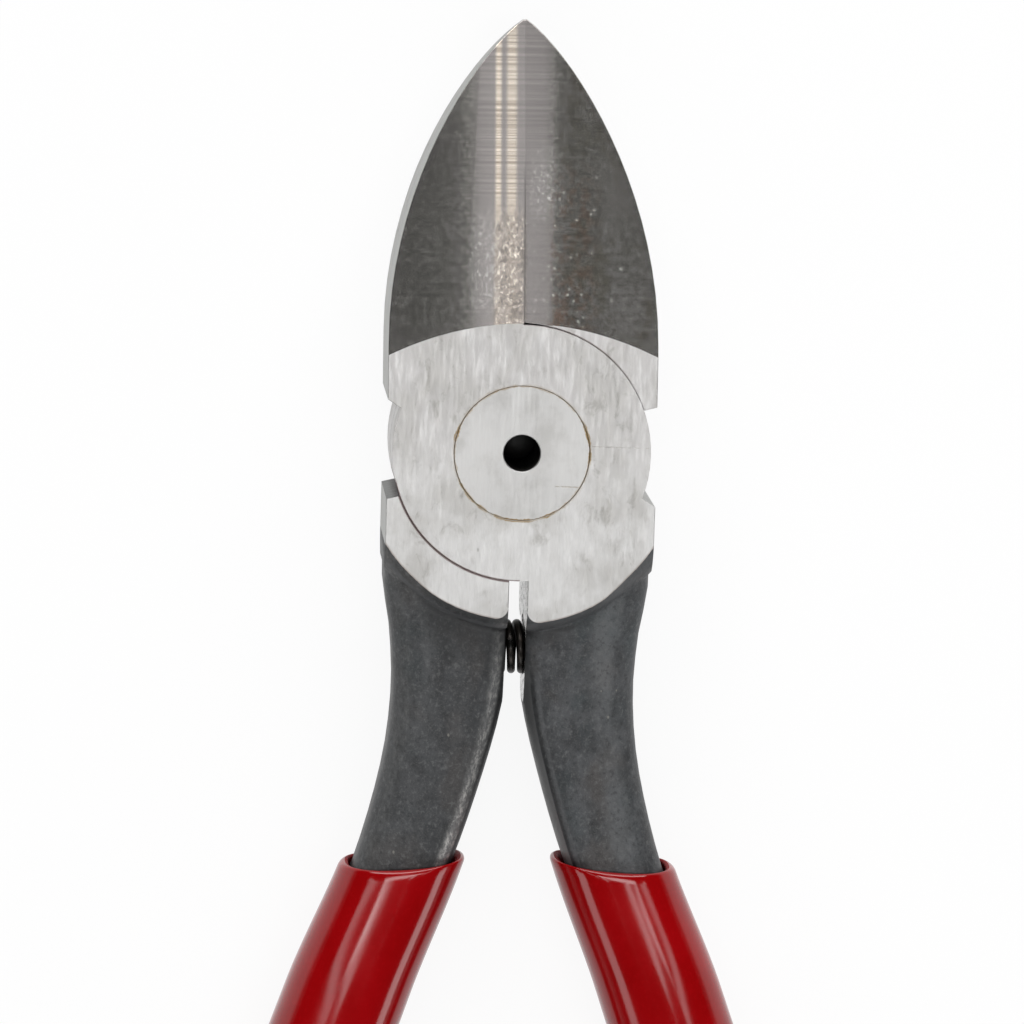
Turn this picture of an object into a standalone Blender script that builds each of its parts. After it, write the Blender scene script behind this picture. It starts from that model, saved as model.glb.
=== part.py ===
"""Gate cutter: flush-cutting nippers with a riveted lap joint, a return spring and sleeved handles.

The tool lies on its back with the flush side of the jaws up and the jaws closed.  X runs across it,
Y along it towards the tips, and Z up from the surface it lies on.  The pivot axis is Z at x = y = 0.
The front half has the left jaw, the disc in front of the lap and the right arm.  The back half has
the right jaw, the disc behind the lap and the left arm.
"""
import math

import bmesh
import bpy
from mathutils import Matrix, Vector

# Head, in metres and degrees
HEAD_WIDTH = 0.0270
HEAD_THICKNESS = 0.0130
TIP_REACH = 0.0430           # pivot axis to the points of the jaws
SIDE_RELIEF = 0.00055        # how far the joint disc stays inside the sides of the head
BOSS_RIM = 0.0038            # how far the ground boss on each arm reaches past the disc
BOSS_DROP = 0.0008           # pivot axis to the middle that the bosses are rounded about
FLANK_RADIUS = 0.0035        # roundness of the forging from the boss down to the arm
FLANK_TOP_DEG = 28.0         # its slope where the boss is ground off it
FLANK_END_DEG = 75.0         # its slope where it has sunk into the arm
FLANK_SETBACK = 0.00015      # the wall under the flank stands this much inside its end
OPENING_DEG = 38.0           # how far the jaws open
STOP_CLEARANCE_DEG = 2.0     # what is left between the shoulders then
FRONT_SHOULDER_DROP = 0.0009  # slant of the front half's shoulders
BACK_SHOULDER_DROP = 0.0003   # slant of the back half's shoulders

# Jaws
SIDE_STRAIGHT = 0.0110       # how far up the sides run straight before they curve to the tip
SIDE_PULL = 0.0155           # how strongly the outline holds to the straight side
TIP_PULL = 0.0060            # how strongly it holds to the slant at the tip
TIP_DEG = 54.0               # slant of the outline at the very tip
TIP_NICK = 0.00010           # corner broken off each tip at the cutting line
TIP_GAP = 0.00006            # between the two cutting edges at the tip
THROAT_GAP = 0.00024         # and where they meet the joint
FLUSH_DEG = 12.0             # slope of the flush side towards the tip
CROWN_RADIUS = 0.130         # roundness of the flush side across the jaws
BEVEL_DEG = 43.0             # bevel behind each cutting edge
EDGE_LAND = 0.00025          # height of the cutting edge
VALLEY_START = 0.0012        # from the disc's recess to the run-out of the bevels
VALLEY_RAMP_DEG = 55.0

# Joint
LAP_GAP = 0.00012
DISC_CLEARANCE = 0.0002
RIVET_HEAD_DIAMETER = 0.0135
RIVET_SHANK_DIAMETER = 0.0085
RIVET_HEAD_DEPTH = 0.0027
RIVET_CLEARANCE = 0.0001
CENTRE_HOLE_DIAMETER = 0.0037
CENTRE_HOLE_DEPTH = 0.0095
DRILL_POINT_DEG = 30.0

# Slot between the arms, with the spring across it
HANDLE_SET_DEG = 0.5         # the two arms lean this much to the left of the cutting line
SLOT_WIDTH = 0.0019
SLOT_CORNER = 0.0012
ARM_FLAT_RELIEF = 0.0001     # the arms' milled flats lie this much behind the boss's slot walls
SPRING_DROP = 0.0204         # pivot axis to spring axis
SPRING_DIAMETER = 0.0056
SPRING_WIRE = 0.00075
SPRING_COIL_GAP = 0.00046
SPRING_CLEARANCE = 0.0003
POCKET_DEPTH = 0.0045

# Arms, measured down from the pivot axis and out from the middle of the tool
ARM_INNER_EDGE = 0.00045     # of the forging, before its inner side is milled flat
ARM_SIDE_STEP = 0.00015      # the arm stays this much inside the head's side
ARM_CORNER = 0.0029
ROOT_DROP = 0.0090
ROOT_THICKNESS = 0.0112
WAIST_DROP = 0.0191
WAIST_WIDTH = 0.0121
NECK_DROP = 0.0255
NECK_WIDTH = 0.0113
NECK_THICKNESS = 0.0095
SHANK_DROP = 0.0330
SHANK_SPREAD = 0.0079
SHANK_WIDTH = 0.0104
MOUTH_DROP = 0.0430          # the top of the grips
MOUTH_SPREAD = 0.01080
MOUTH_WIDTH = 0.0099
MOUTH_THICKNESS = 0.0084
FLARE_DROP = 0.0564
FLARE_SPREAD = 0.01605
FLARE_WIDTH = 0.00947
BEND_DROP = 0.0750
BEND_SPREAD = 0.0217
BEND_WIDTH = 0.0085
BELLY_DROP = 0.1030
BELLY_SPREAD = 0.02485
BELLY_WIDTH = 0.0078
BELLY_THICKNESS = 0.0076
END_SPREAD = 0.0228
END_WIDTH = 0.0070
END_THICKNESS = 0.0064

# Grips
HANDLE_DROP = 0.1365         # pivot axis to the ends of the grips
GRIP_LIP_WALL = 0.00095
GRIP_CLEARANCE = 0.0003
GRIP_END_WALL = 0.0047
GRIP_DOME = 0.0085           # length of the rounded end
GRIP_MOUTH_DEG = 5.0         # the mouth is higher on its inner side
GRIP_LIP_ROUND = 0.0004       # rounding of the lip, inside and out
GRIP_REST_GAP = 0.0001       # the grips stay this much above the surface that the head rests on

# Fineness of the round surfaces
ARC_STEP_DEG = 5.0
FLANK_CORNER_STEP_DEG = 3.5  # finer than the wall below a flank, so that their facets never line up
TURNED_STEPS = 56
CORNER_POINTS = 7
JAW_EDGE_STEPS = 18
CROWN_STRIPS = 20
BARE_RING_STEP = 0.0025      # between rings along the part of an arm that shows
SLEEVED_RING_STEP = 0.0075   # and along the part in its grip
BORE_RING_STEP = 0.0085
GRIP_RING_STEP = 0.0050
DOME_RINGS_DEG = (20, 40, 58, 72, 83)
SPRING_POINTS_PER_TURN = 9
LEAN_STEP = 0.0005           # stretch of an arm over which its lean is measured
FULL_ROUND = 0.98            # largest share of a section's half width that a corner takes
OVERCUT = 0.001              # how far a cutter reaches past what it cuts
FLANK_OVERCUT = 0.0003
FLANK_PAST_SIDE_DEG = 10.0
MERGE_DISTANCE = 1e-6

# Sizes that follow from those above
HALF_WIDTH = HEAD_WIDTH / 2
LAP_Z = HEAD_THICKNESS / 2
DISC_RADIUS = HALF_WIDTH - SIDE_RELIEF
RECESS_RADIUS = DISC_RADIUS + DISC_CLEARANCE
BOSS_RADIUS = DISC_RADIUS + BOSS_RIM - BOSS_DROP
FLANK_RUN = FLANK_RADIUS * (math.sin(math.radians(FLANK_END_DEG)) - math.sin(math.radians(FLANK_TOP_DEG)))
SHOULDER_DEG = (OPENING_DEG + STOP_CLEARANCE_DEG) / 2
FLUSH_START = DISC_RADIUS + DISC_CLEARANCE / 2
BELLY_WALL = HEAD_THICKNESS / 2 - BELLY_THICKNESS / 2 - GRIP_CLEARANCE - GRIP_REST_GAP
ARM_END_DROP = HANDLE_DROP - GRIP_END_WALL
ROOT_OUTER_EDGE = HALF_WIDTH - ARM_SIDE_STEP


def clear_scene():
    for old in list(bpy.data.objects):
        bpy.data.objects.remove(old)


def new_collection(name):
    collection = bpy.data.collections.new(name)
    bpy.context.scene.collection.children.link(collection)
    return collection


def new_material(name, colour, roughness, metallic):
    material = bpy.data.materials.new(name)
    material.use_nodes = True
    shader = material.node_tree.nodes["Principled BSDF"]
    shader.inputs["Base Color"].default_value = (*colour, 1.0)
    shader.inputs["Roughness"].default_value = roughness
    shader.inputs["Metallic"].default_value = metallic
    return material


def add_object(name, data, collection):
    obj = bpy.data.objects.new(name, data)
    collection.objects.link(obj)
    return obj


def add_mesh(name, bm, collection):
    """Turn a bmesh into an object with its faces pointing out."""
    bmesh.ops.recalc_face_normals(bm, faces=bm.faces)
    mesh = bpy.data.meshes.new(name)
    bm.to_mesh(mesh)
    bm.free()
    return add_object(name, mesh, collection)


def as_cutter(obj):
    obj.hide_render = True
    obj.display_type = "WIRE"
    return obj


def boolean(target, other, operation):
    modifier = target.modifiers.new(other.name, "BOOLEAN")
    modifier.operation = operation
    modifier.solver = "EXACT"
    modifier.object = other


def arc(radius, start_deg, end_deg, step_deg=ARC_STEP_DEG):
    """Points along an arc about the origin of the plane, about one at every step."""
    count = max(2, math.ceil(abs(end_deg - start_deg) / step_deg))
    angles = [math.radians(start_deg + (end_deg - start_deg) * i / count) for i in range(count + 1)]
    return [Vector((radius * math.cos(a), radius * math.sin(a))) for a in angles]


def plate(name, outline, thickness, collection):
    """A flat outline made solid between z = 0 and its thickness."""
    curve = bpy.data.curves.new(name, "CURVE")
    curve.dimensions = "2D"
    curve.fill_mode = "BOTH"
    curve.extrude = thickness / 2
    spline = curve.splines.new("POLY")
    spline.points.add(len(outline) - 1)
    for target, point in zip(spline.points, outline):
        target.co = (point.x, point.y, 0.0, 1.0)
    spline.use_cyclic_u = True
    flat = add_object(name + "_outline", curve, collection)
    flat.location.z = thickness / 2
    bpy.context.view_layer.update()
    evaluated = flat.evaluated_get(bpy.context.evaluated_depsgraph_get())
    mesh = bpy.data.meshes.new_from_object(evaluated)
    mesh.transform(flat.matrix_world)
    bpy.data.objects.remove(flat)
    bm = bmesh.new()
    bm.from_mesh(mesh)
    bpy.data.meshes.remove(mesh)
    bmesh.ops.remove_doubles(bm, verts=bm.verts, dist=MERGE_DISTANCE)
    return add_mesh(name, bm, collection)


def drum(name, radius, bottom, top, collection):
    """A cylinder about the pivot axis."""
    bm = bmesh.new()
    middle = Matrix.Translation((0.0, 0.0, (bottom + top) / 2))
    bmesh.ops.create_cone(bm, cap_ends=True, segments=2 * TURNED_STEPS, radius1=radius, radius2=radius,
                          depth=top - bottom, matrix=middle)
    return add_mesh(name, bm, collection)


def turned(name, profile, collection):
    """A profile of (radius, height), outer side from top to bottom, spun about the pivot axis."""
    mesh = bpy.data.meshes.new(name)
    points = [(radius, 0.0, height) for radius, height in profile]
    mesh.from_pydata(points, [(i, i + 1) for i in range(len(points) - 1)], [])
    obj = add_object(name, mesh, collection)
    screw = obj.modifiers.new("turn", "SCREW")
    screw.steps = TURNED_STEPS
    screw.render_steps = TURNED_STEPS
    screw.use_merge_vertices = True
    screw.merge_threshold = MERGE_DISTANCE
    weld = obj.modifiers.new("close", "WELD")
    weld.merge_threshold = MERGE_DISTANCE
    return obj


def loft(name, rings, collection):
    """Skin a row of rings that have the same number of points, and close both ends."""
    bm = bmesh.new()
    rows = [[bm.verts.new(point) for point in ring] for ring in rings]
    for one, two in zip(rows, rows[1:]):
        for i in range(len(one)):
            j = (i + 1) % len(one)
            bm.faces.new((one[i], one[j], two[j], two[i]))
    bm.faces.new(rows[0])
    bm.faces.new(rows[-1])
    return add_mesh(name, bm, collection)


def along(stations, drop):
    """Smooth values at a drop below the pivot, from rows that start with their own drop."""
    last = len(stations) - 1
    drop = min(max(drop, stations[0][0]), stations[last][0])
    k = next(i for i in range(last) if drop <= stations[i + 1][0])
    here, after = stations[k], stations[k + 1]
    span = after[0] - here[0]
    t = (drop - here[0]) / span

    def slope(i, column):
        low, high = stations[max(i - 1, 0)], stations[min(i + 1, last)]
        return (high[column] - low[column]) / (high[0] - low[0])

    values = []
    for column in range(1, len(here)):
        a, b = here[column], after[column]
        rise_a, rise_b = slope(k, column) * span, slope(k + 1, column) * span
        values.append(a * (1 + 2 * t) * (1 - t) ** 2 + rise_a * t * (1 - t) ** 2
                      + b * t * t * (3 - 2 * t) - rise_b * t * t * (1 - t))
    return values


def rounded_section(half_width, half_thickness, corner):
    """Points round a rectangle with rounded corners, starting on its outer side."""
    corner = min(corner, FULL_ROUND * half_width, FULL_ROUND * half_thickness)
    points = []
    for quadrant in range(4):
        start = 90 * quadrant
        side = 1 if quadrant in (0, 3) else -1
        face = 1 if quadrant in (0, 1) else -1
        centre = Vector((side * (half_width - corner), face * (half_thickness - corner)))
        for i in range(CORNER_POINTS):
            angle = math.radians(start + 90 * i / (CORNER_POINTS - 1))
            points.append(centre + corner * Vector((math.cos(angle), math.sin(angle))))
    return points


def arm_stations():
    """Rows of drop, spread, width and thickness down one arm."""
    root_width = ROOT_OUTER_EDGE - ARM_INNER_EDGE
    root_spread = ARM_INNER_EDGE + root_width / 2
    neck_spread = SLOT_WIDTH / 2 + NECK_WIDTH / 2
    return (
        (ROOT_DROP, root_spread, root_width, ROOT_THICKNESS),
        ((ROOT_DROP + WAIST_DROP) / 2, root_spread, root_width, ROOT_THICKNESS),
        (WAIST_DROP, ARM_INNER_EDGE + WAIST_WIDTH / 2, WAIST_WIDTH, (ROOT_THICKNESS + NECK_THICKNESS) / 2),
        (NECK_DROP, neck_spread, NECK_WIDTH, NECK_THICKNESS),
        (SHANK_DROP, SHANK_SPREAD, SHANK_WIDTH, (NECK_THICKNESS + MOUTH_THICKNESS) / 2),
        (MOUTH_DROP, MOUTH_SPREAD, MOUTH_WIDTH, MOUTH_THICKNESS),
        (FLARE_DROP, FLARE_SPREAD, FLARE_WIDTH, MOUTH_THICKNESS),
        (BEND_DROP, BEND_SPREAD, BEND_WIDTH, BELLY_THICKNESS),
        (BELLY_DROP, BELLY_SPREAD, BELLY_WIDTH, BELLY_THICKNESS),
        (ARM_END_DROP, END_SPREAD, END_WIDTH, END_THICKNESS),
    )


def handle_turn(side):
    """The lean of the arms, seen in the frame of the half whose arm is on that side."""
    return math.radians(-HANDLE_SET_DEG) * side


def handle_ring(drop, offset, side, tilt_deg=0.0, shrink=1.0):
    """A level ring round an arm, pushed out by an offset, for the arm on one side of the tool."""
    stations = arm_stations()

    def ring_at(level):
        spread, width, thickness = along(stations, level)
        above, below = along(stations, level - LEAN_STEP), along(stations, level + LEAN_STEP)
        lean = (below[0] - above[0]) / (2 * LEAN_STEP)
        half_width = width / 2 + offset * math.hypot(1.0, lean)
        return spread, rounded_section(half_width * shrink, (thickness / 2 + offset) * shrink,
                                       (ARM_CORNER + offset) * shrink)

    turn = Matrix.Rotation(handle_turn(side), 2)
    points = []
    for i, flat in enumerate(ring_at(drop)[1]):
        level = drop + math.tan(math.radians(tilt_deg)) * flat.x
        spread, section = ring_at(level)
        across, up = section[i]
        place = turn @ Vector((spread + across, -level))
        points.append(Vector((side * place.x, place.y, LAP_Z + up)))
    return points


def steps_between(start, end, step):
    count = max(1, math.ceil((end - start) / step))
    return [start + (end - start) * i / count for i in range(count + 1)]


def jaw_edge():
    """Outer edge of one jaw from its tip to its base, on the left, as one cubic curve."""
    tip = Vector((-TIP_GAP / 2 - TIP_NICK, TIP_REACH))
    base = Vector((-HALF_WIDTH, SIDE_STRAIGHT))
    slant = math.radians(TIP_DEG)
    near_tip = tip + TIP_PULL * Vector((-math.sin(slant), -math.cos(slant)))
    near_base = base + Vector((0.0, SIDE_PULL))
    points = []
    for i in range(JAW_EDGE_STEPS + 1):
        t = i / JAW_EDGE_STEPS
        points.append(tip * (1 - t) ** 3 + near_tip * 3 * t * (1 - t) ** 2
                      + near_base * 3 * t * t * (1 - t) + base * t ** 3)
    return points


def boss_edge(offset, past_side_deg=0.0, corner_step_deg=ARC_STEP_DEG):
    """Points and outward directions along a boss, from the slot round its corner to its side.

    The edge is the ground boss's own, pushed out by an offset, and it can run on past the side.
    """
    corner_x = SLOT_WIDTH / 2 + SLOT_CORNER
    corner_y = -math.sqrt((BOSS_RADIUS - SLOT_CORNER) ** 2 - corner_x ** 2)
    middle = Vector((0.0, -BOSS_DROP))
    corner_radius = SLOT_CORNER + offset
    radius = BOSS_RADIUS + offset
    slot_deg = 360 - math.degrees(math.acos(-SLOT_CORNER / corner_radius))
    rim_start = 360 + math.degrees(math.atan2(corner_y, corner_x))
    rim_end = 360 - math.degrees(math.acos(HALF_WIDTH / radius)) + past_side_deg
    centre = middle + Vector((corner_x, corner_y))
    edge = [(centre + corner_radius * out, out) for out in arc(1.0, slot_deg, rim_start, corner_step_deg)]
    return edge + [(middle + radius * out, out) for out in arc(1.0, rim_start, rim_end)[1:]]


def flank_cutter(name, side, face, collection):
    """Everything above the rounded flank that falls from a boss to its arm, at the top or bottom face."""
    turn = Matrix.Rotation(handle_turn(side), 2)
    top = math.radians(FLANK_TOP_DEG)
    section = [Vector((-FLANK_OVERCUT / math.tan(top), FLANK_OVERCUT))]
    for out in arc(FLANK_RADIUS, 90 - FLANK_TOP_DEG, 90 - FLANK_END_DEG):
        section.append(out - FLANK_RADIUS * Vector((math.sin(top), math.cos(top))))
    section.append(section[-1] + Vector((OVERCUT, 0.0)))
    section.append(Vector((section[-1].x, FLANK_OVERCUT)))
    rings = []
    for point, out in boss_edge(0.0, FLANK_PAST_SIDE_DEG, FLANK_CORNER_STEP_DEG):
        ring = []
        for reach, rise in section:
            place = turn @ (point + reach * out)
            ring.append((side * place.x, place.y, LAP_Z + face * (LAP_Z + rise)))
        rings.append(ring)
    return as_cutter(loft(name, rings, collection))


def half_outline(side, shoulder_drop):
    """Outline of one half's head, with its arm on that side and its jaw on the other."""
    turn = Matrix.Rotation(handle_turn(side), 2)
    slot_x = SLOT_WIDTH / 2
    shoulder = math.radians(SHOULDER_DEG)
    stop = DISC_RADIUS * math.sin(shoulder)

    jaw = [Vector((-TIP_GAP / 2, TIP_REACH - TIP_NICK))] + jaw_edge()
    jaw.append(Vector((-HALF_WIDTH, stop + shoulder_drop)))

    slot_deg = 270 + math.degrees(math.asin(slot_x / DISC_RADIUS) + handle_turn(side))
    below_jaw = arc(DISC_RADIUS, 180 - SHOULDER_DEG, slot_deg)

    boss = [turn @ point for point, _ in boss_edge(FLANK_RUN - FLANK_SETBACK)]
    boss.append(Vector((HALF_WIDTH, -stop - shoulder_drop)))

    cut_deg = 90 + math.degrees(math.asin(THROAT_GAP / 2 / DISC_RADIUS))
    above_arm = arc(DISC_RADIUS, -SHOULDER_DEG, cut_deg)

    points = jaw + below_jaw + boss + above_arm
    return [Vector((side * point.x, point.y)) for point in points]


def arm(name, side, collection):
    drops = steps_between(ROOT_DROP, MOUTH_DROP, BARE_RING_STEP)
    drops += steps_between(MOUTH_DROP, ARM_END_DROP, SLEEVED_RING_STEP)[1:]
    return loft(name, [handle_ring(drop, 0.0, side) for drop in drops], collection)


def grip(name, side, collection):
    """A sleeve: its bore from the blind end up to the mouth, the lip, and its outside down to the end."""
    tilt = GRIP_MOUTH_DEG

    def wall(drop):
        share = min(max((drop - MOUTH_DROP) / (BELLY_DROP - MOUTH_DROP), 0.0), 1.0)
        return GRIP_LIP_WALL + (BELLY_WALL - GRIP_LIP_WALL) * math.sin(math.pi / 2 * share)

    bore_end = ARM_END_DROP + GRIP_CLEARANCE
    bore = reversed(steps_between(MOUTH_DROP + GRIP_LIP_ROUND, bore_end, BORE_RING_STEP))
    rings = [handle_ring(drop, GRIP_CLEARANCE, side, tilt) for drop in bore]
    rings.append(handle_ring(MOUTH_DROP, GRIP_CLEARANCE + GRIP_LIP_ROUND, side, tilt))
    rings.append(handle_ring(MOUTH_DROP, GRIP_CLEARANCE + GRIP_LIP_WALL - GRIP_LIP_ROUND, side, tilt))
    dome_start = HANDLE_DROP - GRIP_DOME
    for drop in steps_between(MOUTH_DROP + GRIP_LIP_ROUND, dome_start, GRIP_RING_STEP):
        rings.append(handle_ring(drop, GRIP_CLEARANCE + wall(drop), side, tilt))
    for share_deg in DOME_RINGS_DEG:
        share = math.radians(share_deg)
        drop = dome_start + GRIP_DOME * math.sin(share)
        fade = tilt * math.cos(share)
        rings.append(handle_ring(drop, GRIP_CLEARANCE + wall(drop), side, fade, math.cos(share)))
    return loft(name, rings, collection)


def flush_cutter(collection):
    """Everything above the crowned, sloping flush side of the jaws."""
    reach = HALF_WIDTH + OVERCUT
    slope = math.tan(math.radians(FLUSH_DEG))
    rings = []
    for y in (0.0, TIP_REACH + OVERCUT):
        height = HEAD_THICKNESS - slope * (y - FLUSH_START)
        ring = []
        for i in range(CROWN_STRIPS + 1):
            x = reach * (2 * i / CROWN_STRIPS - 1)
            ring.append((x, y, height - x * x / (2 * CROWN_RADIUS)))
        top = HEAD_THICKNESS + slope * FLUSH_START + OVERCUT
        ring.append((reach, y, top))
        ring.append((-reach, y, top))
        rings.append(ring)
    return as_cutter(loft("flush_cutter", rings, collection))


def valley_cutter(collection):
    """The bevels behind the cutting edges: a roof-shaped wedge that runs out before the joint."""
    slope = math.tan(math.radians(FLUSH_DEG))
    bevel = math.tan(math.radians(BEVEL_DEG))
    ramp = math.tan(math.radians(VALLEY_RAMP_DEG))
    foot = RECESS_RADIUS + VALLEY_START

    def ridge(y):
        return HEAD_THICKNESS - slope * (y - FLUSH_START) - EDGE_LAND

    end = TIP_REACH + OVERCUT
    start = foot - OVERCUT / ramp
    top_y = (ridge(0.0) + foot * ramp) / (ramp + slope)
    corners = [(0.0, top_y, ridge(top_y)), (0.0, end, ridge(end))]
    for y in (start, end):
        reach = (ridge(y) + OVERCUT) / bevel
        corners += [(reach, y, -OVERCUT), (-reach, y, -OVERCUT)]
    bm = bmesh.new()
    for corner in corners:
        bm.verts.new(corner)
    bmesh.ops.convex_hull(bm, input=bm.verts)
    return as_cutter(add_mesh("valley_cutter", bm, collection))


def rivet_profile(clearance):
    """Flush rivet with a countersunk head at each face, from the top of its outer side down."""
    head = RIVET_HEAD_DIAMETER / 2 + clearance
    shank = RIVET_SHANK_DIAMETER / 2 + clearance
    return [(head, HEAD_THICKNESS), (shank, HEAD_THICKNESS - RIVET_HEAD_DEPTH),
            (shank, RIVET_HEAD_DEPTH), (head, 0.0)]


def rivet_cutter(collection):
    profile = rivet_profile(RIVET_CLEARANCE)
    head = profile[0][0]
    profile = [(0.0, HEAD_THICKNESS + OVERCUT), (head, HEAD_THICKNESS + OVERCUT)] + profile
    profile += [(head, -OVERCUT), (0.0, -OVERCUT)]
    return as_cutter(turned("rivet_cutter", profile, collection))


def pivot_rivet(collection):
    hole = CENTRE_HOLE_DIAMETER / 2
    floor = HEAD_THICKNESS - CENTRE_HOLE_DEPTH
    drill_point = floor - hole * math.tan(math.radians(DRILL_POINT_DEG))
    profile = [(0.0, drill_point), (hole, floor), (hole, HEAD_THICKNESS)]
    profile += rivet_profile(0.0) + [(0.0, 0.0)]
    return turned("pivot_rivet", profile, collection)


def slot_cutter(collection):
    """A box that mills the inner sides of the arms flat below the discs."""
    flat_x = SLOT_WIDTH / 2 + ARM_FLAT_RELIEF
    low, high = -MOUTH_DROP, -DISC_RADIUS
    bm = bmesh.new()
    bmesh.ops.create_cube(bm, size=1.0)
    size = (2 * flat_x, high - low, HEAD_THICKNESS + 2 * OVERCUT)
    bmesh.ops.scale(bm, vec=size, verts=bm.verts)
    bmesh.ops.translate(bm, vec=(0.0, (low + high) / 2, LAP_Z), verts=bm.verts)
    bmesh.ops.rotate(bm, matrix=Matrix.Rotation(math.radians(-HANDLE_SET_DEG), 3, "Z"), verts=bm.verts)
    return as_cutter(add_mesh("slot_cutter", bm, collection))


def across_slot(x, y, z):
    """A place given square to the slot, in the frame of the tool."""
    return Matrix.Rotation(math.radians(-HANDLE_SET_DEG), 3, "Z") @ Vector((x, y, z))


def pocket_cutter(collection):
    """The two spring pockets, drilled in line from the slot into both arms."""
    bm = bmesh.new()
    length = SLOT_WIDTH + 2 * POCKET_DEPTH
    radius = SPRING_DIAMETER / 2 + SPRING_CLEARANCE
    lie = Matrix.Rotation(math.radians(90), 4, "Y")
    place = Matrix.Translation(across_slot(0.0, -SPRING_DROP, LAP_Z))
    square = Matrix.Rotation(math.radians(-HANDLE_SET_DEG), 4, "Z")
    bmesh.ops.create_cone(bm, cap_ends=True, segments=TURNED_STEPS // 2, radius1=radius, radius2=radius,
                          depth=length, matrix=place @ square @ lie)
    return as_cutter(add_mesh("pocket_cutter", bm, collection))


def spring_points():
    """A helix across the slot, with a short straight end square to the floor of each pocket."""
    radius = (SPRING_DIAMETER - SPRING_WIRE) / 2
    pitch = SPRING_WIRE + SPRING_COIL_GAP
    reach = SLOT_WIDTH / 2 + POCKET_DEPTH - SPRING_CLEARANCE
    coil = reach - SPRING_WIRE
    count = math.floor(2 * coil / pitch * SPRING_POINTS_PER_TURN)
    places = []
    for i in range(count + 1):
        turn = 2 * math.pi * (i - count / 2) / SPRING_POINTS_PER_TURN
        across = turn / (2 * math.pi) * pitch
        places.append(Vector((across, radius * math.cos(turn), radius * math.sin(turn))))
    first, last = places[0], places[-1]
    places.insert(0, Vector((-reach, first.y, first.z)))
    places.append(Vector((reach, last.y, last.z)))
    return places


def least_gap(places, tube):
    """Smallest distance between stretches of a tube that are over half a turn apart, less its width."""
    fine = []
    for one, two in zip(places, places[1:]):
        fine += [one, one.lerp(two, 0.25), one.lerp(two, 0.5), one.lerp(two, 0.75)]
    apart = 2 * SPRING_POINTS_PER_TURN
    pairs = ((one, two) for i, one in enumerate(fine) for two in fine[i + apart:])
    return min((one - two).length for one, two in pairs) - tube


def return_spring(collection):
    places = spring_points()
    print(f"least gap between the spring's coils: {least_gap(places, SPRING_WIRE) * 1000:.3f} mm")
    curve = bpy.data.curves.new("return_spring", "CURVE")
    curve.dimensions = "3D"
    curve.bevel_depth = SPRING_WIRE / 2
    curve.bevel_resolution = 1
    curve.use_fill_caps = True
    spline = curve.splines.new("POLY")
    spline.points.add(len(places) - 1)
    for target, place in zip(spline.points, places):
        target.co = (*across_slot(place.x, place.y - SPRING_DROP, place.z + LAP_Z), 1.0)
    return add_object("return_spring", curve, collection)


def half(name, side, shoulder_drop, recess, slot, cutters, parts, helpers):
    """One forging: head with its boss flanks and arm joined, then recessed, drilled and ground."""
    body = plate(name, half_outline(side, shoulder_drop), HEAD_THICKNESS, parts)
    boolean(body, flank_cutter(name + "_top_flank", side, 1, helpers), "DIFFERENCE")
    boolean(body, flank_cutter(name + "_bottom_flank", side, -1, helpers), "DIFFERENCE")
    limb = as_cutter(arm(name + "_arm", side, helpers))
    boolean(limb, slot, "DIFFERENCE")
    boolean(body, limb, "UNION")
    for cutter in [recess] + cutters:
        boolean(body, cutter, "DIFFERENCE")
    return body


def build():
    clear_scene()
    parts = new_collection("gate_cutter")
    helpers = new_collection("gate_cutter_cutters")

    steel = new_material("ground_steel", (0.52, 0.51, 0.49), 0.35, 1.0)
    rivet_steel = new_material("rivet_steel", (0.55, 0.54, 0.52), 0.32, 1.0)
    spring_steel = new_material("spring_steel", (0.03, 0.03, 0.03), 0.4, 0.8)
    vinyl = new_material("red_vinyl", (0.33, 0.001, 0.003), 0.22, 0.0)

    front_recess = as_cutter(drum("front_recess", RECESS_RADIUS, LAP_Z - LAP_GAP / 2,
                                  HEAD_THICKNESS + OVERCUT, helpers))
    back_recess = as_cutter(drum("back_recess", RECESS_RADIUS, -OVERCUT, LAP_Z + LAP_GAP / 2, helpers))
    slot = slot_cutter(helpers)
    cutters = [rivet_cutter(helpers), pocket_cutter(helpers), flush_cutter(helpers), valley_cutter(helpers)]

    front = half("front_half", 1, FRONT_SHOULDER_DROP, back_recess, slot, cutters, parts, helpers)
    back = half("back_half", -1, BACK_SHOULDER_DROP, front_recess, slot, cutters, parts, helpers)
    rivet = pivot_rivet(parts)
    spring = return_spring(parts)
    right = grip("right_grip", 1, parts)
    left = grip("left_grip", -1, parts)

    finish = {front: steel, back: steel, rivet: rivet_steel, spring: spring_steel, left: vinyl, right: vinyl}
    for obj, material in finish.items():
        obj.data.materials.append(material)
    for obj in (rivet, left, right):
        obj.data.shade_smooth()

    pivots = {"back_pivot": (back, rivet, spring, left), "front_pivot": (front, right)}
    for name, carried in pivots.items():
        pivot = add_object(name, None, parts)
        for obj in carried:
            obj.parent = pivot


build()
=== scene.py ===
import math

import bmesh
import bpy
import numpy as np
from mathutils import Matrix, Vector


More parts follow.
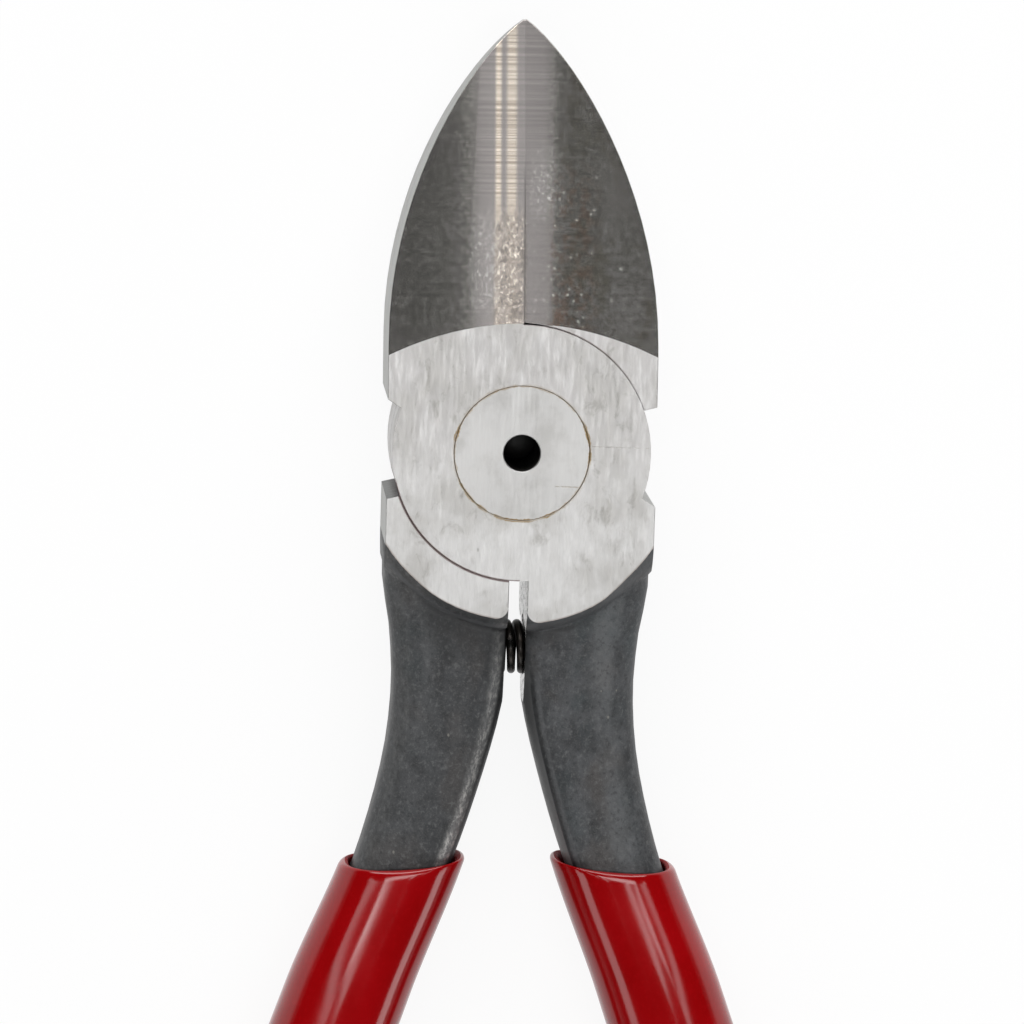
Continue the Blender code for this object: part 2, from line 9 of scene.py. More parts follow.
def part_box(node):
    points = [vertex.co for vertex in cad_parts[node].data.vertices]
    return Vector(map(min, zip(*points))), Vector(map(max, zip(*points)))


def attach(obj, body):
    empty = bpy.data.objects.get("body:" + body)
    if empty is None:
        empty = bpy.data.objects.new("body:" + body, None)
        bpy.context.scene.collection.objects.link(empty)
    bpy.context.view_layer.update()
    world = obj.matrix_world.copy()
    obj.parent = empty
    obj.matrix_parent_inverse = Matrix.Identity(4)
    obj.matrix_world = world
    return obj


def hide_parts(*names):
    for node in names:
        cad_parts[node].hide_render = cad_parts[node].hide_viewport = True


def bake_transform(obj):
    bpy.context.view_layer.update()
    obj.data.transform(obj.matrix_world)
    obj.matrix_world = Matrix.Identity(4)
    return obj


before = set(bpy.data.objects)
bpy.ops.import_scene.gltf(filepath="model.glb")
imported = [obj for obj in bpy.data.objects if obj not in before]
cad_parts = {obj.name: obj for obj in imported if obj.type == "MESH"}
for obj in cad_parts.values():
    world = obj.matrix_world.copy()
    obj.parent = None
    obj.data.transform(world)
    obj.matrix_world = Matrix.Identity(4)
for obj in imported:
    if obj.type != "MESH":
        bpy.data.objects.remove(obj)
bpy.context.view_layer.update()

# Back half: the right jaw, the disc behind the lap and the left arm, drop-forged in one from tool
# steel and blackened, then ground bright on the jaw, the joint and the sides of the head.
HEAD_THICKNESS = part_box("pivot_rivet")[1].z
LAP_Z = HEAD_THICKNESS / 2
HALF_WIDTH = 0.0135          # of the head
DISC_RADIUS = 0.01295
RECESS_RADIUS = 0.01315      # of the recess that the other half's disc turns in
BOSS_RADIUS = 0.01595        # of the lower edge of the joint's ground face
BOSS_DROP = 0.0008           # pivot axis to the middle of that edge
BOSS_SINK = 0.00055          # how far the edge sinks beside the slot, on the right
BOSS_SINK_END = 0.0112       # how far out from the middle that ends
BOSS_SINK_FADE = 0.0034

# Each row down an arm: drop below the pivot, spread from the middle, width and thickness
ARM_ROWS = np.array([
    (0.00900, 0.00690, 0.01290, 0.01120),
    (0.01405, 0.00690, 0.01290, 0.01120),
    (0.01910, 0.00650, 0.01210, 0.01035),
    (0.02550, 0.00660, 0.01130, 0.00950),
    (0.03300, 0.00790, 0.01040, 0.00895),
    (0.04300, 0.01080, 0.00990, 0.00840),
    (0.05640, 0.01605, 0.00947, 0.00840),
    (0.07500, 0.02170, 0.00850, 0.00760),
    (0.10300, 0.02485, 0.00780, 0.00760),
    (0.13180, 0.02280, 0.00700, 0.00640)])


def arm_at(drop):
    """Spread, width, thickness and lean of an arm at an array of drops.

    Each value runs through its rows on a cubic whose slope at a row is that between its neighbours.
    """
    rows = ARM_ROWS[:, 0]
    drop = np.clip(drop, rows[0], rows[-1])
    before = np.maximum(np.arange(len(rows)) - 1, 0)
    after = np.minimum(np.arange(len(rows)) + 1, len(rows) - 1)
    slopes = (ARM_ROWS[after] - ARM_ROWS[before])[:, 1:] / (rows[after] - rows[before])[:, None]
    k = np.clip(np.searchsorted(rows, drop, side="left") - 1, 0, len(rows) - 2)
    span = rows[k + 1] - rows[k]
    t = ((drop - rows[k]) / span)[..., None]
    a, b = ARM_ROWS[k, 1:], ARM_ROWS[k + 1, 1:]
    rise_a, rise_b = slopes[k] * span[..., None], slopes[k + 1] * span[..., None]
    value = (a * (1 + 2 * t) * (1 - t) ** 2 + rise_a * t * (1 - t) ** 2
             + b * t * t * (3 - 2 * t) - rise_b * t * t * (1 - t))
    lean = 6 * t * (t - 1) * (a - b) + rise_a * (1 - t) * (1 - 3 * t) + rise_b * t * (3 * t - 2)
    return value[..., 0], value[..., 1], value[..., 2], lean[..., 0] / span


class Finish:
    """A procedural finish: nodes are added one by one and end in one Principled shader."""

    def __init__(self, name, **constants):
        self.material = bpy.data.materials.new(name)
        self.material.use_nodes = True
        self.tree = self.material.node_tree
        self.shader = self.tree.nodes["Principled BSDF"]
        for socket, value in constants.items():
            self.shader.inputs[socket.replace("_", " ")].default_value = value
        self.place = self.add("TexCoord").outputs["Object"]
        self.normal = None

    def add(self, kind, inputs=(), **settings):
        """A node with its settings, and its inputs given as pairs of socket and value or output."""
        made = self.tree.nodes.new("ShaderNode" + kind)
        for key, value in settings.items():
            setattr(made, key, value)
        for socket, value in inputs:
            if isinstance(value, bpy.types.NodeSocket):
                self.tree.links.new(value, made.inputs[socket])
            else:
                made.inputs[socket].default_value = value
        return made

    def sum(self, operation, one, two=0.0):
        """One operation of Blender's Math node on two numbers."""
        return self.add("Math", [(0, one), (1, two)], operation=operation).outputs[0]

    def axes(self):
        """The place on the piece as x, y and z."""
        split = self.add("SeparateXYZ", [(0, self.place)]).outputs
        return split[0], split[1], split[2]

    def lattice(self, grains, shift=(0.0, 0.0, 0.0)):
        """The place on the piece, counted in grains per metre along each axis."""
        inputs = [("Vector", self.place), ("Scale", grains), ("Location", shift)]
        return self.add("Mapping", inputs).outputs[0]

    def noise(self, grains, detail=3.0, rough=0.55, shift=(0.0, 0.0, 0.0), warp=0.0):
        """Fractal noise about a half, on a lattice of grains."""
        inputs = [("Vector", self.lattice(grains, shift)), ("Scale", 1.0), ("Detail", detail),
                  ("Roughness", rough), ("Distortion", warp)]
        return self.add("TexNoise", inputs).outputs["Fac"]

    def specks(self, grains, share, size, shift=(0.0, 0.0, 0.0)):
        """Spots in a share of the cells of a Voronoi lattice, of random sizes up to the one given."""
        cells = self.add("TexVoronoi", [("Vector", self.lattice(grains, shift)), ("Scale", 1.0)])
        chance = self.add("SeparateColor", [(0, cells.outputs["Color"])]).outputs
        reach = self.sum("MULTIPLY", chance[1], size)
        inside = self.sum("SUBTRACT", reach, cells.outputs["Distance"])
        spot = self.step(inside, 0.0, 0.3 * size)
        return self.sum("MULTIPLY", spot, self.sum("LESS_THAN", chance[0], share))

    def step(self, value, low, high, start=0.0, end=1.0):
        """A smooth rise from start to end as the value goes from low to high."""
        inputs = [("Value", value), ("From Min", low), ("From Max", high),
                  ("To Min", start), ("To Max", end)]
        return self.add("MapRange", inputs, interpolation_type="SMOOTHSTEP").outputs["Result"]

    def band(self, value, middle, half, soft):
        """One within half of the middle, falling to nothing over a soft edge."""
        off = self.sum("ABSOLUTE", self.sum("SUBTRACT", value, middle))
        return self.step(off, half, half + soft, 1.0, 0.0)

    def all_of(self, *shares):
        """The product of shares."""
        total = shares[0]
        for share in shares[1:]:
            total = self.sum("MULTIPLY", total, share)
        return total

    def mix(self, share, one, two):
        """From one colour to the other by a share."""
        pair = [(6, one if isinstance(one, bpy.types.NodeSocket) else (*one, 1.0)),
                (7, two if isinstance(two, bpy.types.NodeSocket) else (*two, 1.0))]
        return self.add("Mix", [(0, share)] + pair, data_type="RGBA").outputs[2]

    def blend(self, share, one, two):
        """From one number to the other by a share."""
        return self.add("Mix", [(0, share), (2, one), (3, two)], data_type="FLOAT").outputs[0]

    def relief(self, height, depth):
        """Bump of a depth in metres, laid over what was there."""
        inputs = [("Height", height), ("Distance", depth), ("Strength", 1.0)]
        if self.normal:
            inputs.append(("Normal", self.normal))
        self.normal = self.add("Bump", inputs).outputs[0]

    def done(self, colour, roughness=None, metallic=None):
        """Drives the shader by what is given, and hands over the material."""
        drives = {"Base Color": colour, "Roughness": roughness, "Metallic": metallic,
                  "Normal": self.normal}
        for socket, value in drives.items():
            if value is not None:
                self.tree.links.new(value, self.shader.inputs[socket])
        return self.material

    def radius(self, drop=0.0):
        """Distance from the pivot axis, or from a line below it by a drop."""
        x, y, _ = self.axes()
        y = self.sum("ADD", y, drop)
        return self.sum("SQRT", self.sum("ADD", self.sum("MULTIPLY", x, x), self.sum("MULTIPLY", y, y)))

    def below_joint(self):
        """How far out a place lies from the sunk lower edge of the joint's face."""
        x = self.axes()[0]
        most = self.step(x, -0.0002, 0.0002, BOSS_SINK / 3, BOSS_SINK)
        out = self.sum("ABSOLUTE", x)
        inward = self.step(out, BOSS_SINK_END - BOSS_SINK_FADE, BOSS_SINK_END, 1.0, 0.0)
        drop = self.sum("ADD", self.sum("MULTIPLY", most, inward), BOSS_DROP)
        return self.sum("SUBTRACT", self.radius(drop), BOSS_RADIUS)

    def grind_direction(self, turn):
        """Lays the spread of the gloss across the grind lines, by the planar map of the piece."""
        tangent = self.add("Tangent", direction_type="UV_MAP", uv_map="across")
        self.tree.links.new(tangent.outputs[0], self.shader.inputs["Tangent"])
        self.shader.inputs["Anisotropic Rotation"].default_value = turn


def brushed_joint():
    """Joint faces: satin steel, belt-ground along the tool, with smudges and a rusty rim at the rivet."""
    f = Finish("brushed_joint", Metallic=1.0, Anisotropic=0.4)
    f.grind_direction(0.0)
    x, y, _ = f.axes()
    fine = f.noise((3100, 420, 400), detail=3)
    short = f.noise((1900, 400, 300), detail=4, rough=0.6, shift=(3.1, 0.7, 0))
    patch = f.noise((210, 170, 200), detail=4, rough=0.6, shift=(1.7, 5.2, 0))
    colour = f.mix(f.step(fine, 0.25, 0.75), (0.550, 0.545, 0.535), (0.700, 0.695, 0.685))
    colour = f.mix(f.step(y, -0.009, 0.006, 0.0, 0.65), colour, (0.475, 0.460, 0.452))
    colour = f.mix(f.step(short, 0.40, 0.72, 0.0, 0.5), colour, (0.76, 0.756, 0.746))
    colour = f.mix(f.step(patch, 0.40, 0.68, 0.0, 0.70), colour, (0.46, 0.450, 0.430))
    smear = f.noise((620, 330, 400), detail=6, rough=0.72, shift=(4.4, 1.9, 0), warp=0.5)
    smear = f.all_of(f.step(smear, 0.52, 0.66), f.step(patch, 0.40, 0.58))
    colour = f.mix(f.all_of(smear, 0.55), colour, (0.30, 0.288, 0.268))
    nicks = f.specks((700, 360, 500), 0.03, 0.20)
    colour = f.mix(f.all_of(nicks, 0.4), colour, (0.26, 0.245, 0.225))
    radius = f.radius()
    wobble = f.noise((900, 900, 900), detail=4, rough=0.75)
    stain = f.step(f.noise((260, 260, 260), detail=3, shift=(0, 2.3, 0)), 0.40, 0.64)
    rim = f.band(f.sum("ADD", radius, f.sum("MULTIPLY", wobble, 0.0006)), 0.00716, 0.00002, 0.00016)
    colour = f.mix(f.all_of(rim, f.step(stain, 0.0, 1.0, 0.25, 0.9)), colour, (0.27, 0.18, 0.07))
    edge = f.all_of(f.band(f.below_joint(), 0.0, 0.00004, 0.00016), f.step(y, -0.004, -0.006))
    colour = f.mix(f.all_of(edge, 0.5), colour, (0.22, 0.155, 0.12))
    # Painted shade: a dark brownish line along the seams, whose gap between the halves is drawn nearly
    # shut.
    at_lap = f.sum("GREATER_THAN", f.sum("MULTIPLY", x, y), 0.0)
    upper = f.all_of(f.band(radius, 0.01299, 0.00004, 0.00010), f.step(y, 0.003, 0.011, 0.0, 0.7))
    lower = f.all_of(f.band(radius, 0.01298, 0.00007, 0.00013), f.step(y, -0.0025, -0.0032, 0.0, 0.9))
    seam = f.all_of(f.sum("MAXIMUM", upper, lower), at_lap)
    colour = f.mix(seam, colour, (0.135, 0.088, 0.085))
    slant = f.sum("SUBTRACT", y, f.sum("MULTIPLY", x, -0.02))
    scratch = f.all_of(f.band(slant, 0.00088, 0.00001, 0.00006), f.band(x, 0.0098, 0.0028, 0.0010),
                       f.step(wobble, 0.42, 0.55))
    colour = f.mix(f.all_of(scratch, 0.45), colour, (0.36, 0.33, 0.29))
    f.relief(fine, 0.000012)
    f.relief(short, 0.000012)
    f.relief(f.sum("MAXIMUM", nicks, scratch), -0.00002)
    return f.done(colour, f.step(fine, 0.2, 0.8, 0.42, 0.54))


def ground_flush():
    """Flush side of the jaws: wheel-ground across, with a grey reflection painted in a band along the
    cutting edges.

    The left edge's bevel has two painted highlight stripes, the far left is painted darker as a reflection
    of the dark, a shadow line is painted down the cut, and both edges are bruised and pitted near the
    joint.
    """
    f = Finish("ground_flush", Metallic=1.0, Anisotropic=0.9)
    f.grind_direction(0.25)
    x, y, _ = f.axes()
    lines = f.noise((120, 5600, 300), detail=2, rough=0.6)
    ladder = f.noise((22, 3300, 100), detail=3, rough=0.62, shift=(0, 1.3, 0))
    ladder = f.blend(f.step(y, 0.0215, 0.0285, 0.35, 1.0), 0.5, ladder)
    drift = f.noise((190, 110, 100), detail=4, shift=(7.7, 2.1, 0))
    colour = f.mix(f.step(drift, 0.42, 0.70, 0.0, 0.7), (0.352, 0.341, 0.317), (0.430, 0.416, 0.388))
    # Painted reflection: the far left of the face is darker, standing in for the dark that it reflects.
    colour = f.mix(f.step(x, -0.0115, -0.0045, 0.75, 0.0), colour, (0.235, 0.227, 0.214))
    stain = f.noise((330, 260, 300), detail=5, rough=0.65, shift=(3.7, 8.8, 0))
    stain = f.all_of(f.step(stain, 0.48, 0.64), f.step(x, 0.0025, 0.0045))
    colour = f.mix(f.all_of(stain, 0.75), colour, (0.26, 0.245, 0.205))
    rust = f.noise((1500, 1200, 900), detail=5, rough=0.7, shift=(8.2, 3.9, 0))
    beside = f.all_of(f.band(x, 0.0048, 0.0010, 0.0024), f.step(y, 0.0300, 0.0255), 0.6)
    foot = f.all_of(f.band(x, 0.0036, 0.0006, 0.0016), f.step(y, 0.0162, 0.0142))
    rust = f.all_of(f.step(rust, 0.46, 0.58), f.sum("MAXIMUM", beside, foot))
    colour = f.mix(rust, colour, (0.370, 0.262, 0.205))
    grain = f.noise((2300, 2100, 300), detail=3, rough=0.62, shift=(5.1, 0.6, 0))
    grain = f.blend(0.25, grain, lines)
    colour = f.mix(f.step(grain, 0.50, 0.38, 0.0, 0.42), colour, (0.16, 0.155, 0.145))
    colour = f.mix(f.step(grain, 0.50, 0.62, 0.0, 0.42), colour, (0.55, 0.533, 0.50))
    # Painted reflection: a grey band along the cutting edges, broken by fine lines across.
    reflection_band = f.band(x, -0.00118, 0.00300, 0.00160)
    grey = f.mix(f.step(ladder, 0.28, 0.72), (0.430, 0.402, 0.391), (0.325, 0.302, 0.294))
    colour = f.mix(reflection_band, colour, grey)
    # Painted highlights: two cream stripes on the left edge's bevel, broken by fine lines across.
    glint = f.sum("MAXIMUM", f.band(x, -0.00264, 0.00008, 0.00040),
                  f.all_of(f.band(x, -0.00130, 0.00020, 0.00056), 0.86))
    cream = f.mix(f.step(ladder, 0.34, 0.68), (1.0, 0.90, 0.775), (0.52, 0.44, 0.36))
    colour = f.mix(glint, colour, cream)
    low = f.step(y, 0.0218, 0.0256, 1.0, 0.0)
    worn = f.all_of(f.band(x, -0.00150, 0.00105, 0.00090), low)
    dents = f.noise((3100, 2000, 900), detail=6, rough=0.78, shift=(4.4, 0, 0))
    bruise = f.noise((900, 1200, 900), detail=3, shift=(1.4, 2.6, 0), warp=0.6)
    colour = f.mix(f.all_of(worn, 0.85), colour, (0.39, 0.345, 0.31))
    colour = f.mix(f.all_of(worn, f.step(dents, 0.50, 0.66), 0.8), colour, (0.93, 0.86, 0.76))
    colour = f.mix(f.all_of(worn, f.step(dents, 0.46, 0.34), 0.65), colour, (0.15, 0.13, 0.115))
    colour = f.mix(f.all_of(worn, f.step(bruise, 0.52, 0.66), 0.6), colour, (0.17, 0.15, 0.135))
    scuff = f.noise((2700, 1900, 900), detail=5, rough=0.7, shift=(6.6, 2.2, 0))
    beside = f.all_of(f.band(x, -0.00400, 0.00080, 0.00120), f.band(y, 0.0188, 0.0024, 0.0042))
    above = f.all_of(f.band(x, 0.00230, 0.00080, 0.00160), f.band(y, 0.0268, 0.0016, 0.0034))
    scuffed = f.sum("MAXIMUM", beside, above)
    scuffed = f.all_of(scuffed, f.step(scuff, 0.48, 0.68, 0.10, 0.52))
    colour = f.mix(scuffed, colour, (0.78, 0.76, 0.73))
    chips = f.specks((2100, 1900, 60), 0.50, 0.41, (3.1, 1.7, 0))
    chips = f.all_of(chips, f.band(x, 0.0042, 0.0018, 0.0040))
    chips = f.sum("MAXIMUM", chips, f.specks((1100, 900, 60), 0.62, 0.27, (0.4, 6.1, 0)))
    chips = f.all_of(chips, f.step(y, 0.0262, 0.0315, 1.0, 0.10), f.step(x, -0.0060, 0.0020, 0.25, 1.0),
                     f.step(scuff, 0.40, 0.62, 0.20, 0.50))
    colour = f.mix(chips, colour, (0.60, 0.60, 0.55))
    # Painted shadow: a dark hairline down the cut, fading out towards the tips.
    closed = f.step(y, 0.0255, 0.0300, 0.45, 0.0)
    colour = f.mix(f.all_of(f.band(x, 0.00002, 0.00003, 0.00009), closed), colour, (0.07, 0.064, 0.058))
    f.relief(lines, 0.0000005)
    f.relief(f.all_of(ladder, reflection_band), 0.0000006)
    f.relief(f.all_of(worn, dents), 0.000006)
    rough = f.step(lines, 0.2, 0.8, 0.167, 0.174)
    rough = f.blend(f.sum("MAXIMUM", f.all_of(worn, 0.5), chips), rough, 0.30)
    return f.done(colour, rough)


def ground_side(name, tone):
    """Sides of the head, shoulders and bevels behind the edges: coarse-ground steel, a little stained.

    At a low tone, as on the shoulders, it is painted shade, darkest in the corner by the disc.
    """
    f = Finish(name, Metallic=1.0)
    lines = f.noise((500, 500, 5200), detail=4)
    cloud = f.noise((260, 260, 900), detail=5, rough=0.6, shift=(2.2, 0, 0))
    low, high = ([tone * v for v in colour] for colour in ((0.46, 0.465, 0.445), (0.60, 0.605, 0.58)))
    colour = f.mix(f.step(lines, 0.25, 0.75), low, high)
    colour = f.mix(f.step(cloud, 0.42, 0.72, 0.0, 0.5), colour, [0.62 * v for v in low])
    pits = f.specks((1300, 1300, 1300), 0.14, 0.40)
    colour = f.mix(f.all_of(pits, 0.7), colour, (0.08, 0.07, 0.065))
    # Painted shade: near black in the corner by the disc, on the low tone only.
    corner = f.step(f.radius(), DISC_RADIUS + 0.0003, DISC_RADIUS + 0.0009, 0.9 * (tone < 0.5), 0.0)
    colour = f.mix(corner, colour, (0.022, 0.016, 0.015))
    f.relief(lines, 0.000015)
    f.relief(pits, -0.00003)
    return f.done(colour, f.step(lines, 0.2, 0.8, 0.34, 0.48))


def milled_inside():
    """Lap faces, recess walls and pockets, turned or milled and oily; slot walls, bright and pitted."""
    f = Finish("milled_inside", Metallic=1.0)
    cuts = f.noise((700, 5200, 5200), detail=4)
    pits = f.noise((1900, 1500, 1900), detail=4, rough=0.65, shift=(0, 3.3, 0))
    in_slot = f.step(f.axes()[1], -0.0110, -0.0122)
    oily = f.mix(f.step(cuts, 0.25, 0.75), (0.30, 0.292, 0.276), (0.42, 0.412, 0.395))
    bright = f.mix(f.step(cuts, 0.25, 0.75), (0.66, 0.655, 0.64), (0.90, 0.895, 0.88))
    pitted = f.all_of(f.step(pits, 0.53, 0.60, 0.0, 0.92), f.step(in_slot, 0.0, 1.0, 0.15, 1.0))
    colour = f.mix(pitted, f.mix(in_slot, oily, bright), (0.045, 0.038, 0.034))
    f.relief(cuts, 0.000015)
    f.relief(pitted, -0.00006)
    rough = f.blend(in_slot, f.step(cuts, 0.2, 0.8, 0.28, 0.42), f.step(cuts, 0.2, 0.8, 0.13, 0.26))
    return f.done(colour, rough)


def black_oxide():
    """Forged arms: blue-grey black oxide over a shot-blasted skin, rubbed pale along the edges.

    Painted light and shade: a sheen down each arm, a highlight along the left arm's inner corner, light on
    the right arm's inner wall and shade on the left's, a highlight and a shade line along the right arm's
    inner edge, and shade below the joint's face.
    """
    f = Finish("black_oxide", Metallic=0.3, Specular_IOR_Level=0.5)
    x, y, _ = f.axes()
    across = f.add("Attribute", attribute_name="arm_across").outputs["Fac"]
    skin = f.noise((2300, 1900, 2300), detail=4, rough=0.65)
    grit = f.noise((6500, 5600, 6500), detail=2, shift=(2.2, 0, 1.1))
    mottle = f.noise((600, 380, 600), detail=5, rough=0.60, shift=(1.2, 0.4, 0))
    lengthways = f.add("CombineXYZ", [(0, f.sum("MULTIPLY", across, 1.7)), (1, f.sum("MULTIPLY", y, 60.0)),
                                      (2, f.sum("MULTIPLY", f.sum("SIGN", x), 3.0))]).outputs[0]
    streak = f.add("TexNoise", [("Vector", lengthways), ("Scale", 1.0), ("Detail", 4.0)]).outputs["Fac"]
    tint = f.noise((170, 130, 170), detail=3, shift=(0.3, 3.7, 0))
    colour = f.mix(f.step(mottle, 0.30, 0.70), (0.025, 0.0263, 0.028), (0.066, 0.0687, 0.0725))
    colour = f.mix(f.step(tint, 0.50, 0.68, 0.0, 0.5), colour, (0.075, 0.066, 0.061))
    colour = f.mix(f.step(tint, 0.48, 0.30, 0.0, 0.5), colour, (0.040, 0.052, 0.056))
    right = f.step(x, -0.0005, 0.0005)
    # Painted sheen: a pale band down each arm, weaker on the left.
    sheen = f.all_of(f.band(across, 0.46, 0.05, 0.36), f.step(streak, 0.34, 0.62, 0.10, 0.42),
                     f.step(right, 0.0, 1.0, 0.55, 1.0))
    colour = f.mix(sheen, colour, (0.140, 0.146, 0.150))
    colour = f.mix(f.step(streak, 0.50, 0.76, 0.0, 0.4), colour, (0.125, 0.130, 0.132))
    colour = f.mix(f.step(right, 0.0, 1.0, 0.32, 0.0), colour, (0.016, 0.0165, 0.017))
    colour = f.mix(f.step(skin, 0.52, 0.70, 0.0, 0.46), colour, (0.130, 0.133, 0.132))
    colour = f.mix(f.step(skin, 0.47, 0.32, 0.0, 0.50), colour, (0.015, 0.0155, 0.016))
    colour = f.mix(f.step(grit, 0.54, 0.70, 0.0, 0.20), colour, (0.16, 0.16, 0.156))
    dust = f.specks((1300, 1000, 1300), 0.05, 0.22, (1.9, 0, 0))
    colour = f.mix(f.all_of(dust, 0.4), colour, (0.30, 0.29, 0.25))
    # Painted highlight along the left arm's inner corner, with bare rubbed patches in it.
    edge = f.add("Attribute", attribute_name="rub_and_highlight_edge").outputs["Fac"]
    rub = f.noise((2300, 1300, 2300), detail=4, rough=0.7, shift=(0, 0, 2.4))
    bare = f.all_of(f.step(rub, 0.48, 0.64), f.step(edge, 0.15, 0.9))
    colour = f.mix(f.all_of(edge, f.step(rub, 0.36, 0.60, 0.36, 0.78)), colour, (0.27, 0.27, 0.265))
    colour = f.mix(f.all_of(bare, 0.65), colour, (0.45, 0.44, 0.42))
    # Painted light: the right arm's inner side wall, lighter further down.
    flat = f.all_of(f.step(across, -0.830, -0.860), f.step(y, -0.0205, -0.0235), right)
    rubbed = f.mix(f.step(y, -0.0245, -0.0345), (0.080, 0.081, 0.081), (0.160, 0.162, 0.162))
    colour = f.mix(f.all_of(flat, 0.85), colour, rubbed)
    # Painted highlight and shade: a pale line along the right arm's inner edge, and a dark shade line
    # beside it where the face turns into the side.
    beside = f.all_of(f.step(y, -0.0215, -0.0245), right)
    ridge_highlight, crease_shade = f.band(across, -0.720, 0.020, 0.040), f.band(across, -0.812, 0.012, 0.030)
    colour = f.mix(f.all_of(ridge_highlight, beside, 0.30), colour, (0.135, 0.138, 0.142))
    colour = f.mix(f.all_of(crease_shade, beside, 0.40), colour, (0.010, 0.010, 0.010))
    # Painted shade on the left arm's inner side, past its corner.
    inside = f.all_of(f.step(across, -0.845, -0.900), f.step(y, -0.0195, -0.0225))
    colour = f.mix(f.all_of(inside, f.step(right, 0.0, 1.0, 0.75, 0.0)), colour, (0.014, 0.0145, 0.015))
    below = f.below_joint()
    long, short = f.step(below, 0.0010, 0.0070, 0.60, 0.0), f.step(below, 0.0010, 0.0035, 0.42, 0.0)
    start = f.step(below, 0.0006, 0.0012, f.step(right, 0.0, 1.0, 0.8, 0.1), 1.0)
    shade = f.all_of(f.blend(right, long, short), start)
    shade = f.blend(f.band(below, 0.00078, 0.00016, 0.00028), shade, 0.0)
    shade = f.sum("ADD", shade, f.all_of(f.band(below, 0.00135, 0.00010, 0.00022), 0.25))
    inner = f.blend(right, f.step(x, -0.0115, -0.0085), f.step(x, 0.0090, 0.0040))
    colour = f.mix(f.all_of(shade, inner), colour, (0.014, 0.0145, 0.015))
    lit = f.blend(right, f.band(below, 0.00088, 0.00008, 0.00022),
                  f.band(below, 0.00045, 0.00030, 0.00025))
    colour = f.mix(f.all_of(lit, 0.6), colour, (0.085, 0.088, 0.091))
    f.relief(skin, 0.000045)
    f.relief(grit, 0.000018)
    f.relief(mottle, 0.00004)
    rough = f.step(mottle, 0.25, 0.75, 0.40, 0.54)
    return f.done(colour, f.blend(bare, rough, 0.36), f.step(bare, 0.0, 1.0, 0.3, 0.8))


# The shoulders take the sides' finish at a darker tone: painted shade.
STEEL_ZONES = [brushed_joint(), ground_flush(), ground_side("ground_side", 0.69),
               ground_side("shaded_shoulder", 0.30), milled_inside(), black_oxide()]
JOINT, FLUSH, SIDE, SHOULDER, INSIDE, FORGED = range(len(STEEL_ZONES))


SLOT_HALF = 0.00095          # half the width of the slot between the arms
SLOT_TOP_Y = -0.0120
SPRING_DROP = 0.0204         # pivot axis to spring axis
POCKET_RADIUS = 0.0032
POCKET_REACH = 0.0056        # from the middle of the tool past a pocket's floor
JAW_Y = 0.0080               # the flush side of the jaws lies above this
JAW_BACK_Y = 0.0125          # and the bevels behind their edges above this
DISC_WALL_Y = 0.0090         # the wall of a disc shows within this of the middle
SIDE_GAP = 0.0004            # what stands this much outside the disc is a side or a shoulder
DISC_WALL_SLACK = 3e-4
LEVEL_SLACK = 1e-5
RIM_SLACK = 2e-5


def steel_zone(centre, normal):
    """Which finish each face has, from where it lies and which way it looks."""
    x, y, z = centre.T
    radius = np.hypot(x, y)
    level = np.abs(normal[:, 2]) > 0.999
    outside = (z > HEAD_THICKNESS - LEVEL_SLACK) | (z < LEVEL_SLACK)
    upright = np.abs(normal[:, 2]) < 0.3
    on_flank = (y < -DISC_RADIUS - 0.001) & ~upright
    on_arm = on_flank | ((y < 0) & (np.hypot(x, y + BOSS_DROP) > BOSS_RADIUS - RIM_SLACK))
    in_slot = (np.abs(normal[:, 0]) > 0.99) & (np.abs(x) < SLOT_HALF + SIDE_GAP) & (y < SLOT_TOP_Y)
    off_spring = np.maximum(np.abs(y + SPRING_DROP), np.abs(z - LAP_Z))
    in_pocket = (np.abs(x) < POCKET_REACH) & (off_spring < POCKET_RADIUS)
    beyond_disc = upright & (radius > DISC_RADIUS + SIDE_GAP)
    zones = [
        (in_slot | in_pocket, INSIDE),
        (level & outside, JOINT),
        (upright & (np.abs(radius - DISC_RADIUS) < DISC_WALL_SLACK) & (np.abs(y) < DISC_WALL_Y), JOINT),
        (on_arm, FORGED),
        ((normal[:, 2] > 0.9) & (y > JAW_Y), FLUSH),
        (beyond_disc & (normal[:, 1] > 0.6) & (y < 0) & (x < 0), SHOULDER),
        (beyond_disc, SIDE),
        ((y > JAW_BACK_Y) & (normal[:, 2] < 0), SIDE)]
    return np.select([where for where, _ in zones], [zone for _, zone in zones], INSIDE)


HANDLE_LEAN = math.radians(0.5)
ARM_CORNER = 0.0029          # rounding of an arm's section
RUB_DEG = 53                 # where round that corner an arm is rubbed and painted with a highlight most
RUB_SPREAD_DEG = 13
RUB_DROP, RUB_GROWTH = 0.019, 0.018   # drop at which the rub and highlight start to grow, and over how much
BARE_DROP, BARE_GROWTH = 0.035, 0.003   # and where they grow again, close to the sleeve


